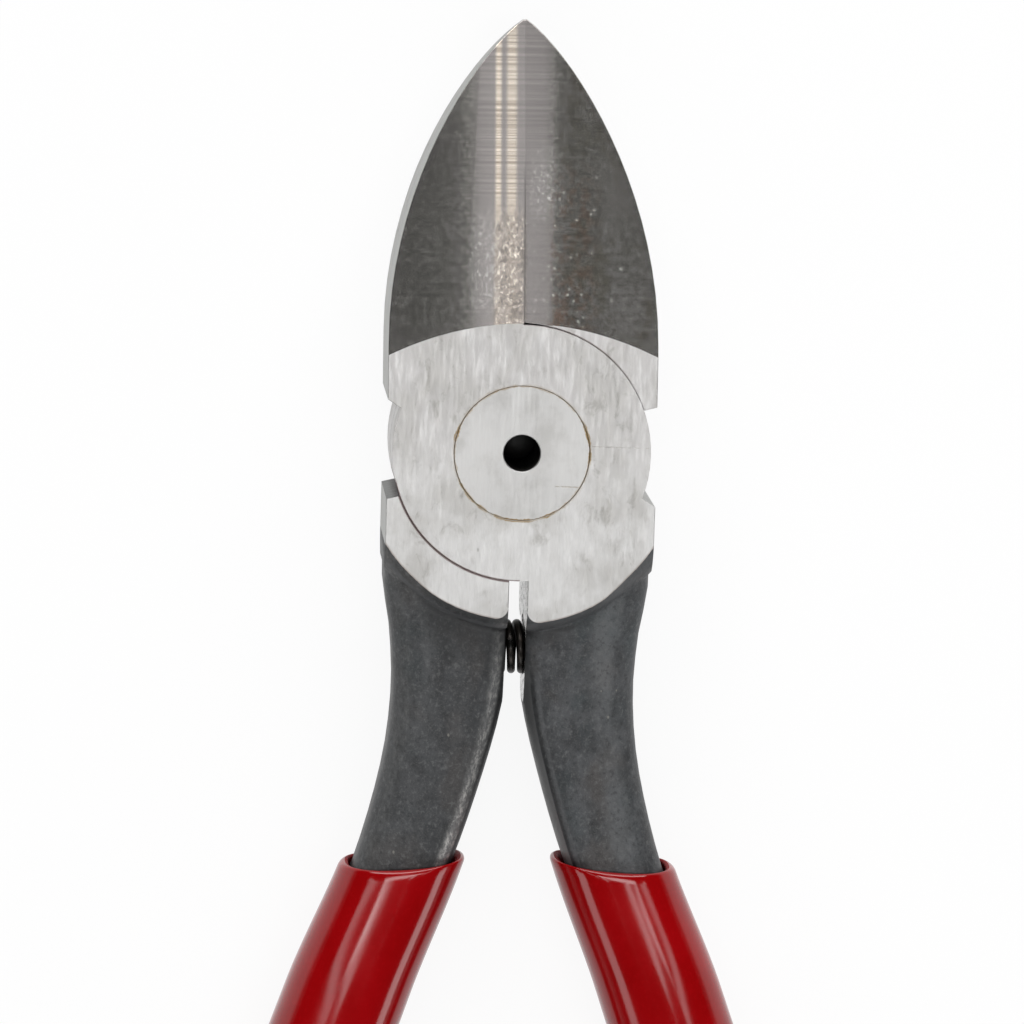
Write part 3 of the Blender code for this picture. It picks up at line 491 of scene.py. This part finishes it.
def arm_rub_and_highlight(points, side):
    """Where a point lies across its arm, from -1 inside to 1 outside, and how rubbed and highlighted it is
    there.

    Within a corner of the left arm's section the rub, with a painted highlight along the corner's crest,
    is a bell over the angle round that corner, most along the inner edges and growing down the arm.
    """
    turned = points[:, :2] @ np.array([[math.cos(HANDLE_LEAN), math.sin(HANDLE_LEAN)],
                                       [-math.sin(HANDLE_LEAN), math.cos(HANDLE_LEAN)]])
    spread, width, thickness, _ = arm_at(-turned[:, 1])
    across = side * turned[:, 0] - spread
    over = np.abs(across) - (width / 2 - ARM_CORNER)
    rise = np.abs(points[:, 2] - LAP_Z) - (thickness / 2 - ARM_CORNER)
    angle = np.degrees(np.arctan2(rise, over))
    bell = np.exp(-((angle - RUB_DEG) / RUB_SPREAD_DEG) ** 2) * ((over > 0) & (rise > 0))
    down = np.clip((-turned[:, 1] - RUB_DROP) / RUB_GROWTH, 0, 1)
    low = np.clip((-turned[:, 1] - BARE_DROP) / BARE_GROWTH, 0, 1)
    rub = np.where(across < 0, 0.70 + 0.15 * down + 0.35 * low, 0.25)
    return across / (width / 2), bell * rub * (1 - side) / 2


CUT_GAP = 0.00013            # the cutting edges lie within this of the middle
SEAM_GAP = 0.00002           # what is left of a seam that is drawn close
SEAM_NOTCH = 0.00020         # how far the upper seam opens at the cut
SEAM_NOTCH_REACH = 0.0025    # and how soon that fades along it
BOSS_SINK_REACH = 0.0035     # how far down the arm sinks with the edge of the ground face
BOSS_SINK_Y = -0.0080        # only what lies below this sinks
BOSS_SINK_LEVEL = 0.0035     # and more than this from the lap
SEAM_Y = 0.0020              # the seams start this far above and below the pivot
SLOT_CORNER_X = 0.0030       # the face's corners beside the slot lie within this of the middle
SLOT_CORNER_Y = -0.0150      # and below this


def touching(points):
    """The skin's points with the seams drawn close, as where the real halves touch.

    The cutting edges move up to the middle, and the rim of each recess up to the disc in it, but for a
    notch that opens towards the cut.  The lower edge of the joint's face sinks a little, and the arm
    below it with it by the square of what is left of a short reach.
    """
    x, y, z = points.T
    radius = np.hypot(x, y)
    cut = (np.abs(x) < CUT_GAP) & (y > DISC_RADIUS)
    lap = (np.abs(radius - RECESS_RADIUS) < RIM_SLACK) & (np.abs(y) > SEAM_Y)
    notch = np.where(y > 0, SEAM_NOTCH * np.exp(-np.abs(x) / SEAM_NOTCH_REACH), SEAM_GAP)
    scale = np.where(lap, (DISC_RADIUS + SEAM_GAP + notch) / np.maximum(radius, 1e-6), 1.0)
    below = np.hypot(x, y + BOSS_DROP) - BOSS_RADIUS
    corner = (y < SLOT_CORNER_Y) & (np.abs(x) < SLOT_CORNER_X)
    off_lap = np.abs(z - LAP_Z) > BOSS_SINK_LEVEL
    on_face = ((below > -RIM_SLACK) | corner) & (y < BOSS_SINK_Y) & off_lap
    inward = np.clip((BOSS_SINK_END - np.abs(x)) / BOSS_SINK_FADE, 0, 1)
    inward = inward ** 2 * (3 - 2 * inward) * on_face
    remaining = np.clip(1 - below / BOSS_SINK_REACH, 0, 1)
    sink = np.where(x > 0, BOSS_SINK, BOSS_SINK / 3) * inward * remaining ** 2
    return np.stack((np.where(cut, np.sign(x) * SEAM_GAP / 8, x * scale), y * scale - sink, z), axis=-1)


def column(collection, key, width, kind=np.float64):
    """One property of all a mesh's points, edges, faces or corners as an array."""
    values = np.zeros(len(collection) * width, kind)
    collection.foreach_get(key, values)
    return values.reshape(-1, width)


WELD = 2e-6
FLAT_DEG = 0.2               # faces that turn less make one flat
EDGE_BREAK = 0.00009         # width of a broken edge
FINE_BREAK = 0.2             # share of it along the lap, the slot and the shoulders
BREAK_DEG = 32               # edges that turn less aren't broken
BREAK_END_Y = -0.0215        # nor are those that reach below this, past the spring
CREASE_DEG = 26              # ground edges that turn more are sharp
FORGED_CREASE_DEG = 95       # and forged ones that turn more than this
GRIND_MAP = 20               # the grind's map counts this much per metre


def welded_half(node, name):
    """A CAD half with its triangles welded and its flats whole, and the degrees that each edge turns.

    The sides below the joint are cut in two where the ground face ends, because the finish changes there.
    """
    bm = bmesh.new()
    bm.from_mesh(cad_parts[node].data)
    bmesh.ops.remove_doubles(bm, verts=bm.verts, dist=WELD)
    bmesh.ops.dissolve_limit(bm, angle_limit=math.radians(FLAT_DEG), verts=bm.verts, edges=bm.edges)
    middles = [(face, face.calc_center_median()) for face in bm.faces if abs(face.normal.x) > 0.99]
    cheek = [face for face, middle in middles if abs(middle.x) > HALF_WIDTH - 1e-4 and middle.y < 0]
    parts = cheek + list({e for f in cheek for e in f.edges}) + list({v for f in cheek for v in f.verts})
    ground_end = -BOSS_DROP - math.sqrt(BOSS_RADIUS ** 2 - HALF_WIDTH ** 2)
    bmesh.ops.bisect_plane(bm, geom=parts, plane_co=(0, ground_end, 0), plane_no=(0, 1, 0.0))
    turn = np.degrees([edge.calc_face_angle(0.0) for edge in bm.edges])
    mesh = bpy.data.meshes.new(name)
    bm.to_mesh(mesh)
    bm.free()
    return mesh, turn


def edge_zones(mesh, zone):
    """The lowest and the highest zone of the faces that meet at each edge."""
    edge_of = column(mesh.loops, "edge_index", 1, np.int32)[:, 0]
    zone_of = np.repeat(zone, column(mesh.polygons, "loop_total", 1, np.int32)[:, 0])
    lowest, highest = np.full(len(mesh.edges), len(STEEL_ZONES)), np.zeros(len(mesh.edges), int)
    np.minimum.at(lowest, edge_of, zone_of)
    np.maximum.at(highest, edge_of, zone_of)
    return lowest, highest


def broken_share(ends, turn, forged, shoulder):
    """Share of a broken edge's width that each edge has, from where its two ends lie and its turn.

    Edges that cut, are forged or lie past the spring have none.
    """
    x, y = ends[..., 0], ends[..., 1]
    cutting = (np.abs(x).max(axis=1) < CUT_GAP) & (y.min(axis=1) > DISC_RADIUS)
    at_lap = np.hypot(x, y).max(axis=1) < RECESS_RADIUS + 1e-4
    by_slot = (np.abs(x).max(axis=1) < SLOT_CORNER_X) & (y.max(axis=1) < SLOT_CORNER_Y)
    above_spring = y.min(axis=1) > BREAK_END_Y
    broken = (turn > BREAK_DEG) & ~cutting & ~forged & above_spring
    return np.where(at_lap | by_slot | shoulder, FINE_BREAK, 1.0) * broken


def steel_half(node, name, side, body):
    """A CAD half as one skin, its seams drawn close and its edges broken, with a finish by zone."""
    mesh, turn = welded_half(node, name)
    zone = steel_zone(column(mesh.polygons, "center", 3), column(mesh.polygons, "normal", 3))
    for material in STEEL_ZONES:
        mesh.materials.append(material)
    mesh.polygons.foreach_set("material_index", zone.astype(np.int32))
    points = touching(column(mesh.vertices, "co", 3))
    mesh.vertices.foreach_set("co", points.ravel())
    for key, values in zip(("arm_across", "rub_and_highlight_edge"), arm_rub_and_highlight(points, side)):
        mesh.attributes.new(key, "FLOAT", "POINT").data.foreach_set("value", values.astype(np.float32))
    across = mesh.uv_layers.new(name="across")
    corners = column(mesh.loops, "vertex_index", 1, np.int32)[:, 0]
    across.data.foreach_set("uv", (points[corners, :2] * GRIND_MAP).ravel())

    lowest, highest = edge_zones(mesh, zone)
    forged = lowest == FORGED
    mesh.shade_smooth()
    crease = mesh.attributes.new("sharp_edge", "BOOLEAN", "EDGE")
    sharp = turn > np.where(forged, FORGED_CREASE_DEG, CREASE_DEG)
    crease.data.foreach_set("value", sharp | (lowest != highest))
    ends = points[column(mesh.edges, "vertices", 2, np.int32)]
    weight = broken_share(ends, turn, forged, highest == SHOULDER)
    broken_edge = mesh.attributes.new("bevel_weight_edge", "FLOAT", "EDGE")
    broken_edge.data.foreach_set("value", weight.astype(np.float32))
    piece = bpy.data.objects.new(name, mesh)
    bpy.context.scene.collection.objects.link(piece)
    broken = piece.modifiers.new("broken_edges", "BEVEL")
    broken.width = EDGE_BREAK
    broken.segments = 2
    broken.limit_method = "WEIGHT"
    broken.use_clamp_overlap = False
    broken.harden_normals = True
    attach(piece, body)
    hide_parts(node)


steel_half("back_half", "back_half_steel", -1, "back")

# Front half: the left jaw, the disc in front of the lap and the right arm, forged and ground as the
# other half is.  Its disc lies on the other's, so this half's ground face carries the rivet's ring.
steel_half("front_half", "front_half_steel", 1, "front")

# Pivot rivet: a turned steel pin, headed into the countersinks of both halves and ground flush with
# them, with a blind centre hole in its front face.
RIVET_HEAD_RADIUS = 0.00682
RIVET_SHANK_RADIUS = 0.00425
RIVET_HEAD_DEPTH = 0.0027
RIVET_AROUND = 144           # points round a ring
HOLE_RADIUS = 0.00185
HOLE_CHAMFER = 0.00008
HOLE_DEPTH = 0.0095
DRILL_POINT = 0.00107        # depth of the drill's cone below the hole
RIM_BREAK = 0.00006


def skin(name, rows, material, body=None):
    """A closed skin over an array of rings of points, its first and last rings drawn in to a point."""
    count, around = rows.shape[:2]
    i, j = np.meshgrid(np.arange(count - 1), np.arange(around), indexing="ij")
    k = (j + 1) % around
    quads = np.stack((i * around + j, i * around + k, (i + 1) * around + k, (i + 1) * around + j), axis=-1)
    mesh = bpy.data.meshes.new(name)
    mesh.from_pydata(rows.reshape(-1, 3).tolist(), [], quads.reshape(-1, 4).tolist())
    bm = bmesh.new()
    bm.from_mesh(mesh)
    bmesh.ops.remove_doubles(bm, verts=bm.verts, dist=1e-8)
    bmesh.ops.recalc_face_normals(bm, faces=bm.faces)
    bm.to_mesh(mesh)
    bm.free()
    mesh.shade_smooth()
    mesh.materials.append(material)
    piece = bpy.data.objects.new(name, mesh)
    bpy.context.scene.collection.objects.link(piece)
    if body:
        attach(piece, body)
    return piece


def turned_rings(profile, around):
    """Rings about the pivot axis for rows of radius and height."""
    radius, height = np.array(profile).T
    turn = np.linspace(0, 2 * np.pi, around, endpoint=False)
    return np.stack((radius[:, None] * np.cos(turn), radius[:, None] * np.sin(turn),
                     np.repeat(height[:, None], around, axis=1)), axis=-1)


def ground_rivet():
    """Rivet: ground with the joint, scored on one side, painted with shade in its hole and rusty at its
    rim.
    """
    f = Finish("ground_rivet", Metallic=1.0, Anisotropic=0.3)
    x, y, z = f.axes()
    fine = f.noise((3300, 260, 900), detail=3, shift=(0, 4.2, 0))
    patch = f.noise((300, 240, 300), detail=5, rough=0.65, shift=(2.9, 1.2, 0))
    colour = f.mix(f.step(fine, 0.25, 0.75), (0.520, 0.516, 0.506), (0.585, 0.580, 0.570))
    colour = f.mix(f.step(patch, 0.44, 0.70, 0.0, 0.6), colour, (0.40, 0.393, 0.378))
    radius = f.radius()
    wobble = f.noise((900, 900, 900), detail=4, rough=0.75)
    rim = f.band(f.sum("ADD", radius, f.sum("MULTIPLY", wobble, -0.0006)), 0.00647, 0.00002, 0.00012)
    stain = f.step(f.noise((260, 260, 260), detail=3, shift=(0, 2.3, 0)), 0.40, 0.64, 0.45, 0.95)
    colour = f.mix(f.all_of(rim, stain), colour, (0.24, 0.15, 0.045))
    colour = f.mix(f.step(radius, 0.00674, 0.00680), colour, (0.11, 0.075, 0.035))
    score = f.all_of(f.band(f.sum("ADD", y, f.sum("MULTIPLY", x, 0.03)), -0.00321, 0.00002, 0.00006),
                     f.band(x, 0.0041, 0.0013, 0.0006), f.step(wobble, 0.40, 0.52))
    colour = f.mix(f.all_of(score, 0.7), colour, (0.30, 0.25, 0.19))
    # Painted shade: near black down the hole, below its rim.
    down = f.step(z, HEAD_THICKNESS - 0.0006, HEAD_THICKNESS - 0.0001, 1.0, 0.0)
    hole = f.all_of(f.step(radius, HOLE_RADIUS, HOLE_RADIUS + 0.0002, 1.0, 0.0), down)
    colour = f.mix(hole, colour, (0.012, 0.011, 0.010))
    f.relief(fine, 0.000012)
    f.relief(score, -0.00002)
    return f.done(colour, f.step(fine, 0.2, 0.8, 0.41, 0.53), f.step(hole, 0.0, 1.0, 1.0, 0.3))


rivet_profile = [
    (0.0, HEAD_THICKNESS - HOLE_DEPTH - DRILL_POINT),
    (HOLE_RADIUS, HEAD_THICKNESS - HOLE_DEPTH),
    (HOLE_RADIUS, HEAD_THICKNESS - HOLE_CHAMFER),
    (HOLE_RADIUS + HOLE_CHAMFER, HEAD_THICKNESS),
    (RIVET_HEAD_RADIUS - RIM_BREAK, HEAD_THICKNESS),
    (RIVET_HEAD_RADIUS, HEAD_THICKNESS - RIM_BREAK),
    (RIVET_SHANK_RADIUS, HEAD_THICKNESS - RIVET_HEAD_DEPTH),
    (RIVET_SHANK_RADIUS, RIVET_HEAD_DEPTH),
    (RIVET_HEAD_RADIUS, RIM_BREAK),
    (RIVET_HEAD_RADIUS - RIM_BREAK, 0.0),
    (0.0, 0.0)]
rivet = skin("rivet_pin", turned_rings(rivet_profile, RIVET_AROUND), ground_rivet(), "back")
rivet.data.set_sharp_from_angle(angle=math.radians(25))
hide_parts("pivot_rivet")

# Return spring: a coil of oil-blackened wire that sits in a drilled pocket in each arm and pushes
# them apart.  It is squeezed nearly solid while the jaws are closed.
SPRING_RADIUS = 0.00236      # to the middle of the wire
SPRING_WIRE = 0.00042        # half the wire's thickness
SPRING_REACH = 0.00512       # middle of the slot to either end
SPRING_TURNS = 9.25
SPRING_PHASE = math.radians(-140)
SPRING_SAG = 0.00025         # how low it lies in its pockets


def coil_rings(points_per_turn=40, around=14):
    """Rings of wire along a helix across the slot.

    The axis runs across the tool.  The wire's ring is square to the helix, and its ends close
    in a short dome.
    """
    count = int(SPRING_TURNS * points_per_turn) + 1
    share = np.linspace(-0.5, 0.5, count)
    turn = 2 * np.pi * SPRING_TURNS * share + SPRING_PHASE
    length = 2 * (SPRING_REACH - SPRING_WIRE)
    out = np.stack((np.zeros(count), np.cos(turn), np.sin(turn)), axis=-1)
    path = SPRING_RADIUS * out + np.stack((length * share, np.zeros(count), np.zeros(count)), axis=-1)
    along = np.gradient(path, axis=0)
    along /= np.linalg.norm(along, axis=1, keepdims=True)
    side = np.cross(along, out)
    dome = np.radians([90, 70, 45, 20])
    first = path[0] - SPRING_WIRE * np.sin(dome)[:, None] * along[0]
    last = path[-1] + SPRING_WIRE * np.sin(dome[::-1])[:, None] * along[-1]
    size = np.concatenate((np.cos(dome), np.ones(count), np.cos(dome[::-1]))) * SPRING_WIRE
    path = np.concatenate((first, path, last))
    out = np.concatenate((np.repeat(out[:1], 4, 0), out, np.repeat(out[-1:], 4, 0)))
    side = np.concatenate((np.repeat(side[:1], 4, 0), side, np.repeat(side[-1:], 4, 0)))
    angle = np.linspace(0, 2 * np.pi, around, endpoint=False)
    ring = np.cos(angle)[None, :, None] * out[:, None] + np.sin(angle)[None, :, None] * side[:, None]
    return path[:, None] + size[:, None, None] * ring


def across_slot(points):
    """Points given square to the slot, turned by the lean of the handles."""
    c, s = math.cos(HANDLE_LEAN), math.sin(HANDLE_LEAN)
    x, y, z = points[..., 0], points[..., 1], points[..., 2]
    return np.stack((x * c + y * s, y * c - x * s, z), axis=-1)


def blackened_wire():
    """Spring wire: glossy black oil finish, with browned and rubbed places."""
    f = Finish("blackened_wire", Metallic=0.75)
    cloud = f.noise((900, 900, 900), detail=4, rough=0.6)
    colour = f.mix(f.step(cloud, 0.35, 0.65), (0.010, 0.0095, 0.009), (0.030, 0.025, 0.022))
    rub = f.noise((2600, 1300, 1300), detail=3, shift=(1.1, 0, 0))
    colour = f.mix(f.step(rub, 0.62, 0.74, 0.0, 0.6), colour, (0.12, 0.095, 0.08))
    f.relief(rub, 0.000006)
    return f.done(colour, f.step(cloud, 0.3, 0.7, 0.24, 0.38))


spring_middle = np.array((0.0, -SPRING_DROP - SPRING_SAG, LAP_Z))
spring = skin("spring_coil", across_slot(coil_rings() + spring_middle), blackened_wire())
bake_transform(spring)
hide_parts("return_spring")

# Handle sleeves: soft red vinyl tubes, dipped to a glossy skin with a rounded lip and a domed end,
# pushed warm over the bare ends of the arms.
MOUTH_DROP = 0.0427
MOUTH_DIP = 0.0003           # how far the mouth dips in the middle of each face
MOUTH_TILT = math.radians(4)
MOUTH_STRETCH = 0.0080       # the rings lie closer over this much below the mouth
BELLY_DROP = 0.1030
SLEEVE_END = 0.1365
ARM_END = 0.1318
BORE_GAP = 0.0003            # between an arm and its sleeve
LIP_WALL = 0.00095
BELLY_WALL = 0.0023
DOME_LENGTH = 0.0085
ARM_SQUARENESS = 3.3         # power of the superellipse round the bore: 2 is an ellipse
SLEEVE_SQUARENESS = 2.25     # and round the outside
BORE_RINGS, LIP_RINGS, MOUTH_RINGS, SLEEVE_RINGS, DOME_RINGS = 40, 15, 14, 60, 14


def sleeve_rows():
    """Rows from the bottom of the bore up over the lip and down the outside to the end.

    Each row is drop, offset from the arm's surface, squareness of the section, tilt and shrink.  The
    wall grows from the lip to the belly on a quarter sine.
    """
    def wall(drop):
        share = np.clip((drop - MOUTH_DROP) / (BELLY_DROP - MOUTH_DROP), 0, 1)
        return LIP_WALL + (BELLY_WALL - LIP_WALL) * np.sin(np.pi / 2 * share)

    def rows(drop, offset, square, tilt=1.0, shrink=1.0):
        return np.stack(np.broadcast_arrays(drop, offset, square, tilt, shrink), axis=-1).reshape(-1, 5)

    floor = np.array((0.0, 0.5, 0.9, 1.0))
    bore_end = rows(ARM_END + BORE_GAP, BORE_GAP, ARM_SQUARENESS, floor, floor)
    bore = rows(np.linspace(ARM_END, MOUTH_DROP + LIP_WALL, BORE_RINGS), BORE_GAP, ARM_SQUARENESS)
    lip_turn = np.radians(np.linspace(0, 180, LIP_RINGS))[1:-1]
    out = (1 - np.cos(lip_turn)) / 2
    lip = rows(MOUTH_DROP + LIP_WALL / 2 * (1 - np.sin(lip_turn)), BORE_GAP + LIP_WALL * out,
               ARM_SQUARENESS + (SLEEVE_SQUARENESS - ARM_SQUARENESS) * out)
    near, dome_start = MOUTH_DROP + MOUTH_STRETCH, SLEEVE_END - DOME_LENGTH
    drop = np.concatenate((np.linspace(MOUTH_DROP + LIP_WALL / 2, near, MOUTH_RINGS),
                           np.linspace(near, dome_start, SLEEVE_RINGS)[1:]))
    outside = rows(drop, BORE_GAP + wall(drop), SLEEVE_SQUARENESS)
    round_off = np.radians(np.linspace(0, 90, DOME_RINGS))[1:]
    drop = dome_start + DOME_LENGTH * np.sin(round_off)
    dome = rows(drop, BORE_GAP + wall(drop), SLEEVE_SQUARENESS, np.cos(round_off), np.cos(round_off))
    return np.concatenate((bore_end, bore, lip, outside, dome))


def sleeve_rings(side, around=112):
    """Level rings round an arm: a superellipse of the arm's size and the row's offset.

    The mouth tilts and dips, so a point's drop grows with its distance out from the middle of the arm and
    towards the middle of its face, and the section is taken again at that drop.
    """
    drop, offset, square, tilt, shrink = sleeve_rows().T
    turn = np.linspace(0, 2 * np.pi, around, endpoint=False)
    power = (2 / square)[:, None]
    over = np.sign(np.cos(turn)) * np.abs(np.cos(turn)) ** power
    up = np.sign(np.sin(turn)) * np.abs(np.sin(turn)) ** power

    def section(level):
        spread, width, thickness, lean = arm_at(level)
        reach = (width / 2 + offset[:, None] * np.hypot(1.0, lean)) * shrink[:, None] * over
        return spread, reach, (thickness / 2 + offset[:, None]) * shrink[:, None] * up

    level = np.repeat(drop[:, None], around, axis=1)
    lower = math.tan(MOUTH_TILT) * section(level)[1] + MOUTH_DIP * (1 - over ** 2)
    level = level + tilt[:, None] * lower
    spread, reach, rise = section(level)
    points = across_slot(np.stack((side * (spread + reach), -level, np.zeros_like(level)), axis=-1))
    points[..., 2] = LAP_Z + rise
    return points


def red_vinyl():
    """Vinyl sleeve: deep red with a wet gloss, faintly dappled, with a few motes of dust."""
    f = Finish("red_vinyl", IOR=1.50)
    cloud = f.noise((190, 150, 190), detail=4, rough=0.55)
    colour = f.mix(f.step(cloud, 0.3, 0.7), (0.235, 0.0004, 0.0012), (0.275, 0.0006, 0.0020))
    grain = f.noise((2600, 2600, 2600), detail=2, shift=(0, 1.4, 0))
    colour = f.mix(f.step(grain, 0.50, 0.75, 0.0, 0.35), colour, (0.32, 0.0022, 0.0040))
    motes = f.specks((330, 300, 330), 0.035, 0.12, (2.6, 0.9, 0))
    colour = f.mix(f.all_of(motes, 0.7), colour, (0.72, 0.45, 0.42))
    peel = f.noise((420, 260, 420), detail=2)
    f.relief(peel, 0.0000035)
    f.relief(motes, 0.00003)
    return f.done(colour, f.step(cloud, 0.25, 0.75, 0.10, 0.14))


def matt_bore():
    """Bore of a sleeve: the same vinyl with the dull, even skin of its former."""
    f = Finish("matt_bore", IOR=1.50, Specular_IOR_Level=0.2)
    cloud = f.noise((700, 500, 700), detail=3)
    f.relief(cloud, 0.00002)
    return f.done(f.mix(f.step(cloud, 0.3, 0.7), (0.16, 0.0006, 0.0016), (0.21, 0.0010, 0.0024)),
                  f.step(cloud, 0.25, 0.75, 0.50, 0.62))


def looks_inward(mesh, side):
    """Which faces of a sleeve look towards the middle of its arm: those of the bore."""
    centre, normal = column(mesh.polygons, "center", 3), column(mesh.polygons, "normal", 3)
    out = centre - (0.0, 0.0, LAP_Z)
    out[:, 0] -= side * arm_at(-centre[:, 1])[0]
    return out[:, 0] * normal[:, 0] + out[:, 2] * normal[:, 2] < 0


vinyl, bore_vinyl = red_vinyl(), matt_bore()
for arm_side, side_name, arm_body in ((-1, "left", "back"), (1, "right", "front")):
    sleeve = skin(side_name + "_sleeve", sleeve_rings(arm_side), vinyl, arm_body)
    sleeve.data.materials.append(bore_vinyl)
    in_bore = looks_inward(sleeve.data, arm_side)
    sleeve.data.polygons.foreach_set("material_index", in_bore.astype(np.int32))
    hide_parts(side_name + "_grip")

# Studio: a white sweep under and round the tool, a broad soft box beyond its tips, and strips and
# panels overhead with darkness between them, so that steel shows bands and vinyl narrow streaks.
SWEEP_RADIUS = 2.4           # of its flat floor
SWEEP_CURVE = 0.9            # radius of the bend up from it
SWEEP_AROUND = 96
FLOOR_Z = -1e-4              # just under the tool
SWEEP_GLOW = 0.90            # share of plain white that the eye sees
GLOSSY_GLOW = 0.75           # and that reflections see
GLOW_FADE = (0.08, 0.35)     # heights between which the reflected glow fades
LAMP_HEIGHT = 1.0


def white_sweep():
    """Sweep: white to the eye, and its floor in reflections too; a plain matt white to other light."""
    f = Finish("white_sweep", Base_Color=(0.86, 0.86, 0.86, 1.0), Roughness=0.9, Specular_IOR_Level=0.0)
    path = f.add("LightPath").outputs
    floor = f.step(f.axes()[2], *GLOW_FADE, 1.0, 0.1)
    seen = f.sum("MAXIMUM", path["Is Camera Ray"], path["Is Transmission Ray"])
    seen = f.sum("MAXIMUM", seen, f.all_of(path["Is Glossy Ray"], floor, GLOSSY_GLOW))
    glow = f.add("Emission").outputs[0]
    both = f.add("MixShader", [(0, f.all_of(seen, SWEEP_GLOW)), (1, f.shader.outputs[0]), (2, glow)])
    f.tree.links.new(both.outputs[0], f.tree.nodes["Material Output"].inputs["Surface"])
    return f.material


rise_turn = np.radians(np.linspace(0, 80, 24))
sweep_profile = [(0.0, FLOOR_Z), (SWEEP_RADIUS / 2, FLOOR_Z)] + list(zip(
    SWEEP_RADIUS + SWEEP_CURVE * np.sin(rise_turn), SWEEP_CURVE * (1 - np.cos(rise_turn)) + FLOOR_Z))
sweep = skin("sweep", turned_rings(sweep_profile, SWEEP_AROUND), white_sweep())
sweep.data.flip_normals()

world = bpy.data.worlds.new("studio")
world.use_nodes = True
world.node_tree.nodes["Background"].inputs["Color"].default_value = (0.03, 0.03, 0.032, 1.0)
bpy.context.scene.world = world


def lamp(name, place, width, height, radiance, along=(0.0, 1.0, 0.0)):
    """A flat lamp that faces the tool, its height lying along a line; its power gives the radiance."""
    light = bpy.data.lights.new(name, "AREA")
    light.shape = "RECTANGLE"
    light.size, light.size_y = width, height
    light.energy = radiance * math.pi * width * height
    holder = bpy.data.objects.new(name, light)
    away = Vector(place).normalized()
    across = Vector(along).cross(away).normalized()
    turn = Matrix((across, away.cross(across), away)).transposed().to_4x4()
    holder.matrix_world = Matrix.Translation(place) @ turn
    holder.visible_camera = False
    bpy.context.scene.collection.objects.link(holder)


def overhead(side_deg, along_deg):
    """A place on the lamps' ceiling, by its angles from overhead: sideways and along the tool."""
    return Vector((math.tan(math.radians(side_deg)), math.tan(math.radians(along_deg)), 1.0)) * LAMP_HEIGHT


def panel(name, near, far, radiance):
    """A lamp on the ceiling between two opposite corners."""
    a, b = overhead(*near), overhead(*far)
    lamp(name, (a + b) / 2, abs(b.x - a.x), abs(b.y - a.y), radiance)


def strip(name, start, end, width, radiance):
    """A narrow lamp on the ceiling from one place to another."""
    a, b = overhead(*start), overhead(*end)
    lamp(name, (a + b) / 2, width, (b - a).length, radiance, b - a)


lamp("soft_box", (0.04, 1.09, 0.68), 1.8, 0.72, 5.5)
lamp("front_fill", (0.0, -1.0, 0.75), 1.4, 0.6, 2.4)
lamp("left_panel", (-0.91, -0.605, 0.71), 0.36, 0.50, 2.4)
lamp("right_panel", (1.04, -0.68, 0.39), 0.36, 0.50, 3.3)
panel("joint_panel", (-16, -5.5), (24, 2.6), 6.0)
panel("jaw_panel", (-1.4, 9), (6.0, 27), 0.8)
strip("left_outer_strip", (-39.5, 7.5), (-16.5, -10), 0.085, 2.8)
strip("left_inner_strip", (-14.5, -3.5), (-5, -11.5), 0.06, 4.0)
strip("right_inner_strip", (15.5, -5.5), (10.2, -11.0), 0.06, 4.2)
strip("right_outer_strip", (40, 4), (26, -10), 0.085, 2.8)

# Camera: above the joint, leaning a little towards the tips and to the left, with a long lens.
SIGHT = Vector((0.0, 0.0, HEAD_THICKNESS))
SIGHT_PIXEL = (522.0, 453.5)
FRAME_PIXELS = 1024
PIXELS_PER_METRE = 10000
CAMERA_DISTANCE = 0.55
CAMERA_PITCH = math.radians(7.7)
CAMERA_YAW = math.radians(3.8)
CAMERA_ROLL = math.radians(1.0)

outward = Vector((-math.tan(CAMERA_YAW), math.tan(CAMERA_PITCH), 1.0)).normalized()
focal_pixels = PIXELS_PER_METRE * CAMERA_DISTANCE
look = -outward
right = look.cross(Vector((0.0, 1.0, 0.0))).normalized()
up = right.cross(look)
right, up = (right * math.cos(CAMERA_ROLL) + up * math.sin(CAMERA_ROLL),
             up * math.cos(CAMERA_ROLL) - right * math.sin(CAMERA_ROLL))
off_x = (SIGHT_PIXEL[0] - FRAME_PIXELS / 2) / focal_pixels
off_y = (SIGHT_PIXEL[1] - FRAME_PIXELS / 2) / focal_pixels
back = (outward + off_x * right - off_y * up).normalized()
right = (right - right.dot(back) * back).normalized()
up = back.cross(right)

camera = bpy.data.objects.new("camera", bpy.data.cameras.new("camera"))
camera.data.sensor_width = 36.0
camera.data.lens = camera.data.sensor_width * focal_pixels / FRAME_PIXELS
camera.data.clip_start = 0.01
camera.matrix_world = Matrix.Translation(SIGHT + outward * CAMERA_DISTANCE) @ Matrix(
    (right, up, back)).transposed().to_4x4()
bpy.context.scene.collection.objects.link(camera)
bpy.context.scene.camera = camera
bpy.context.scene.view_settings.view_transform = "Standard"
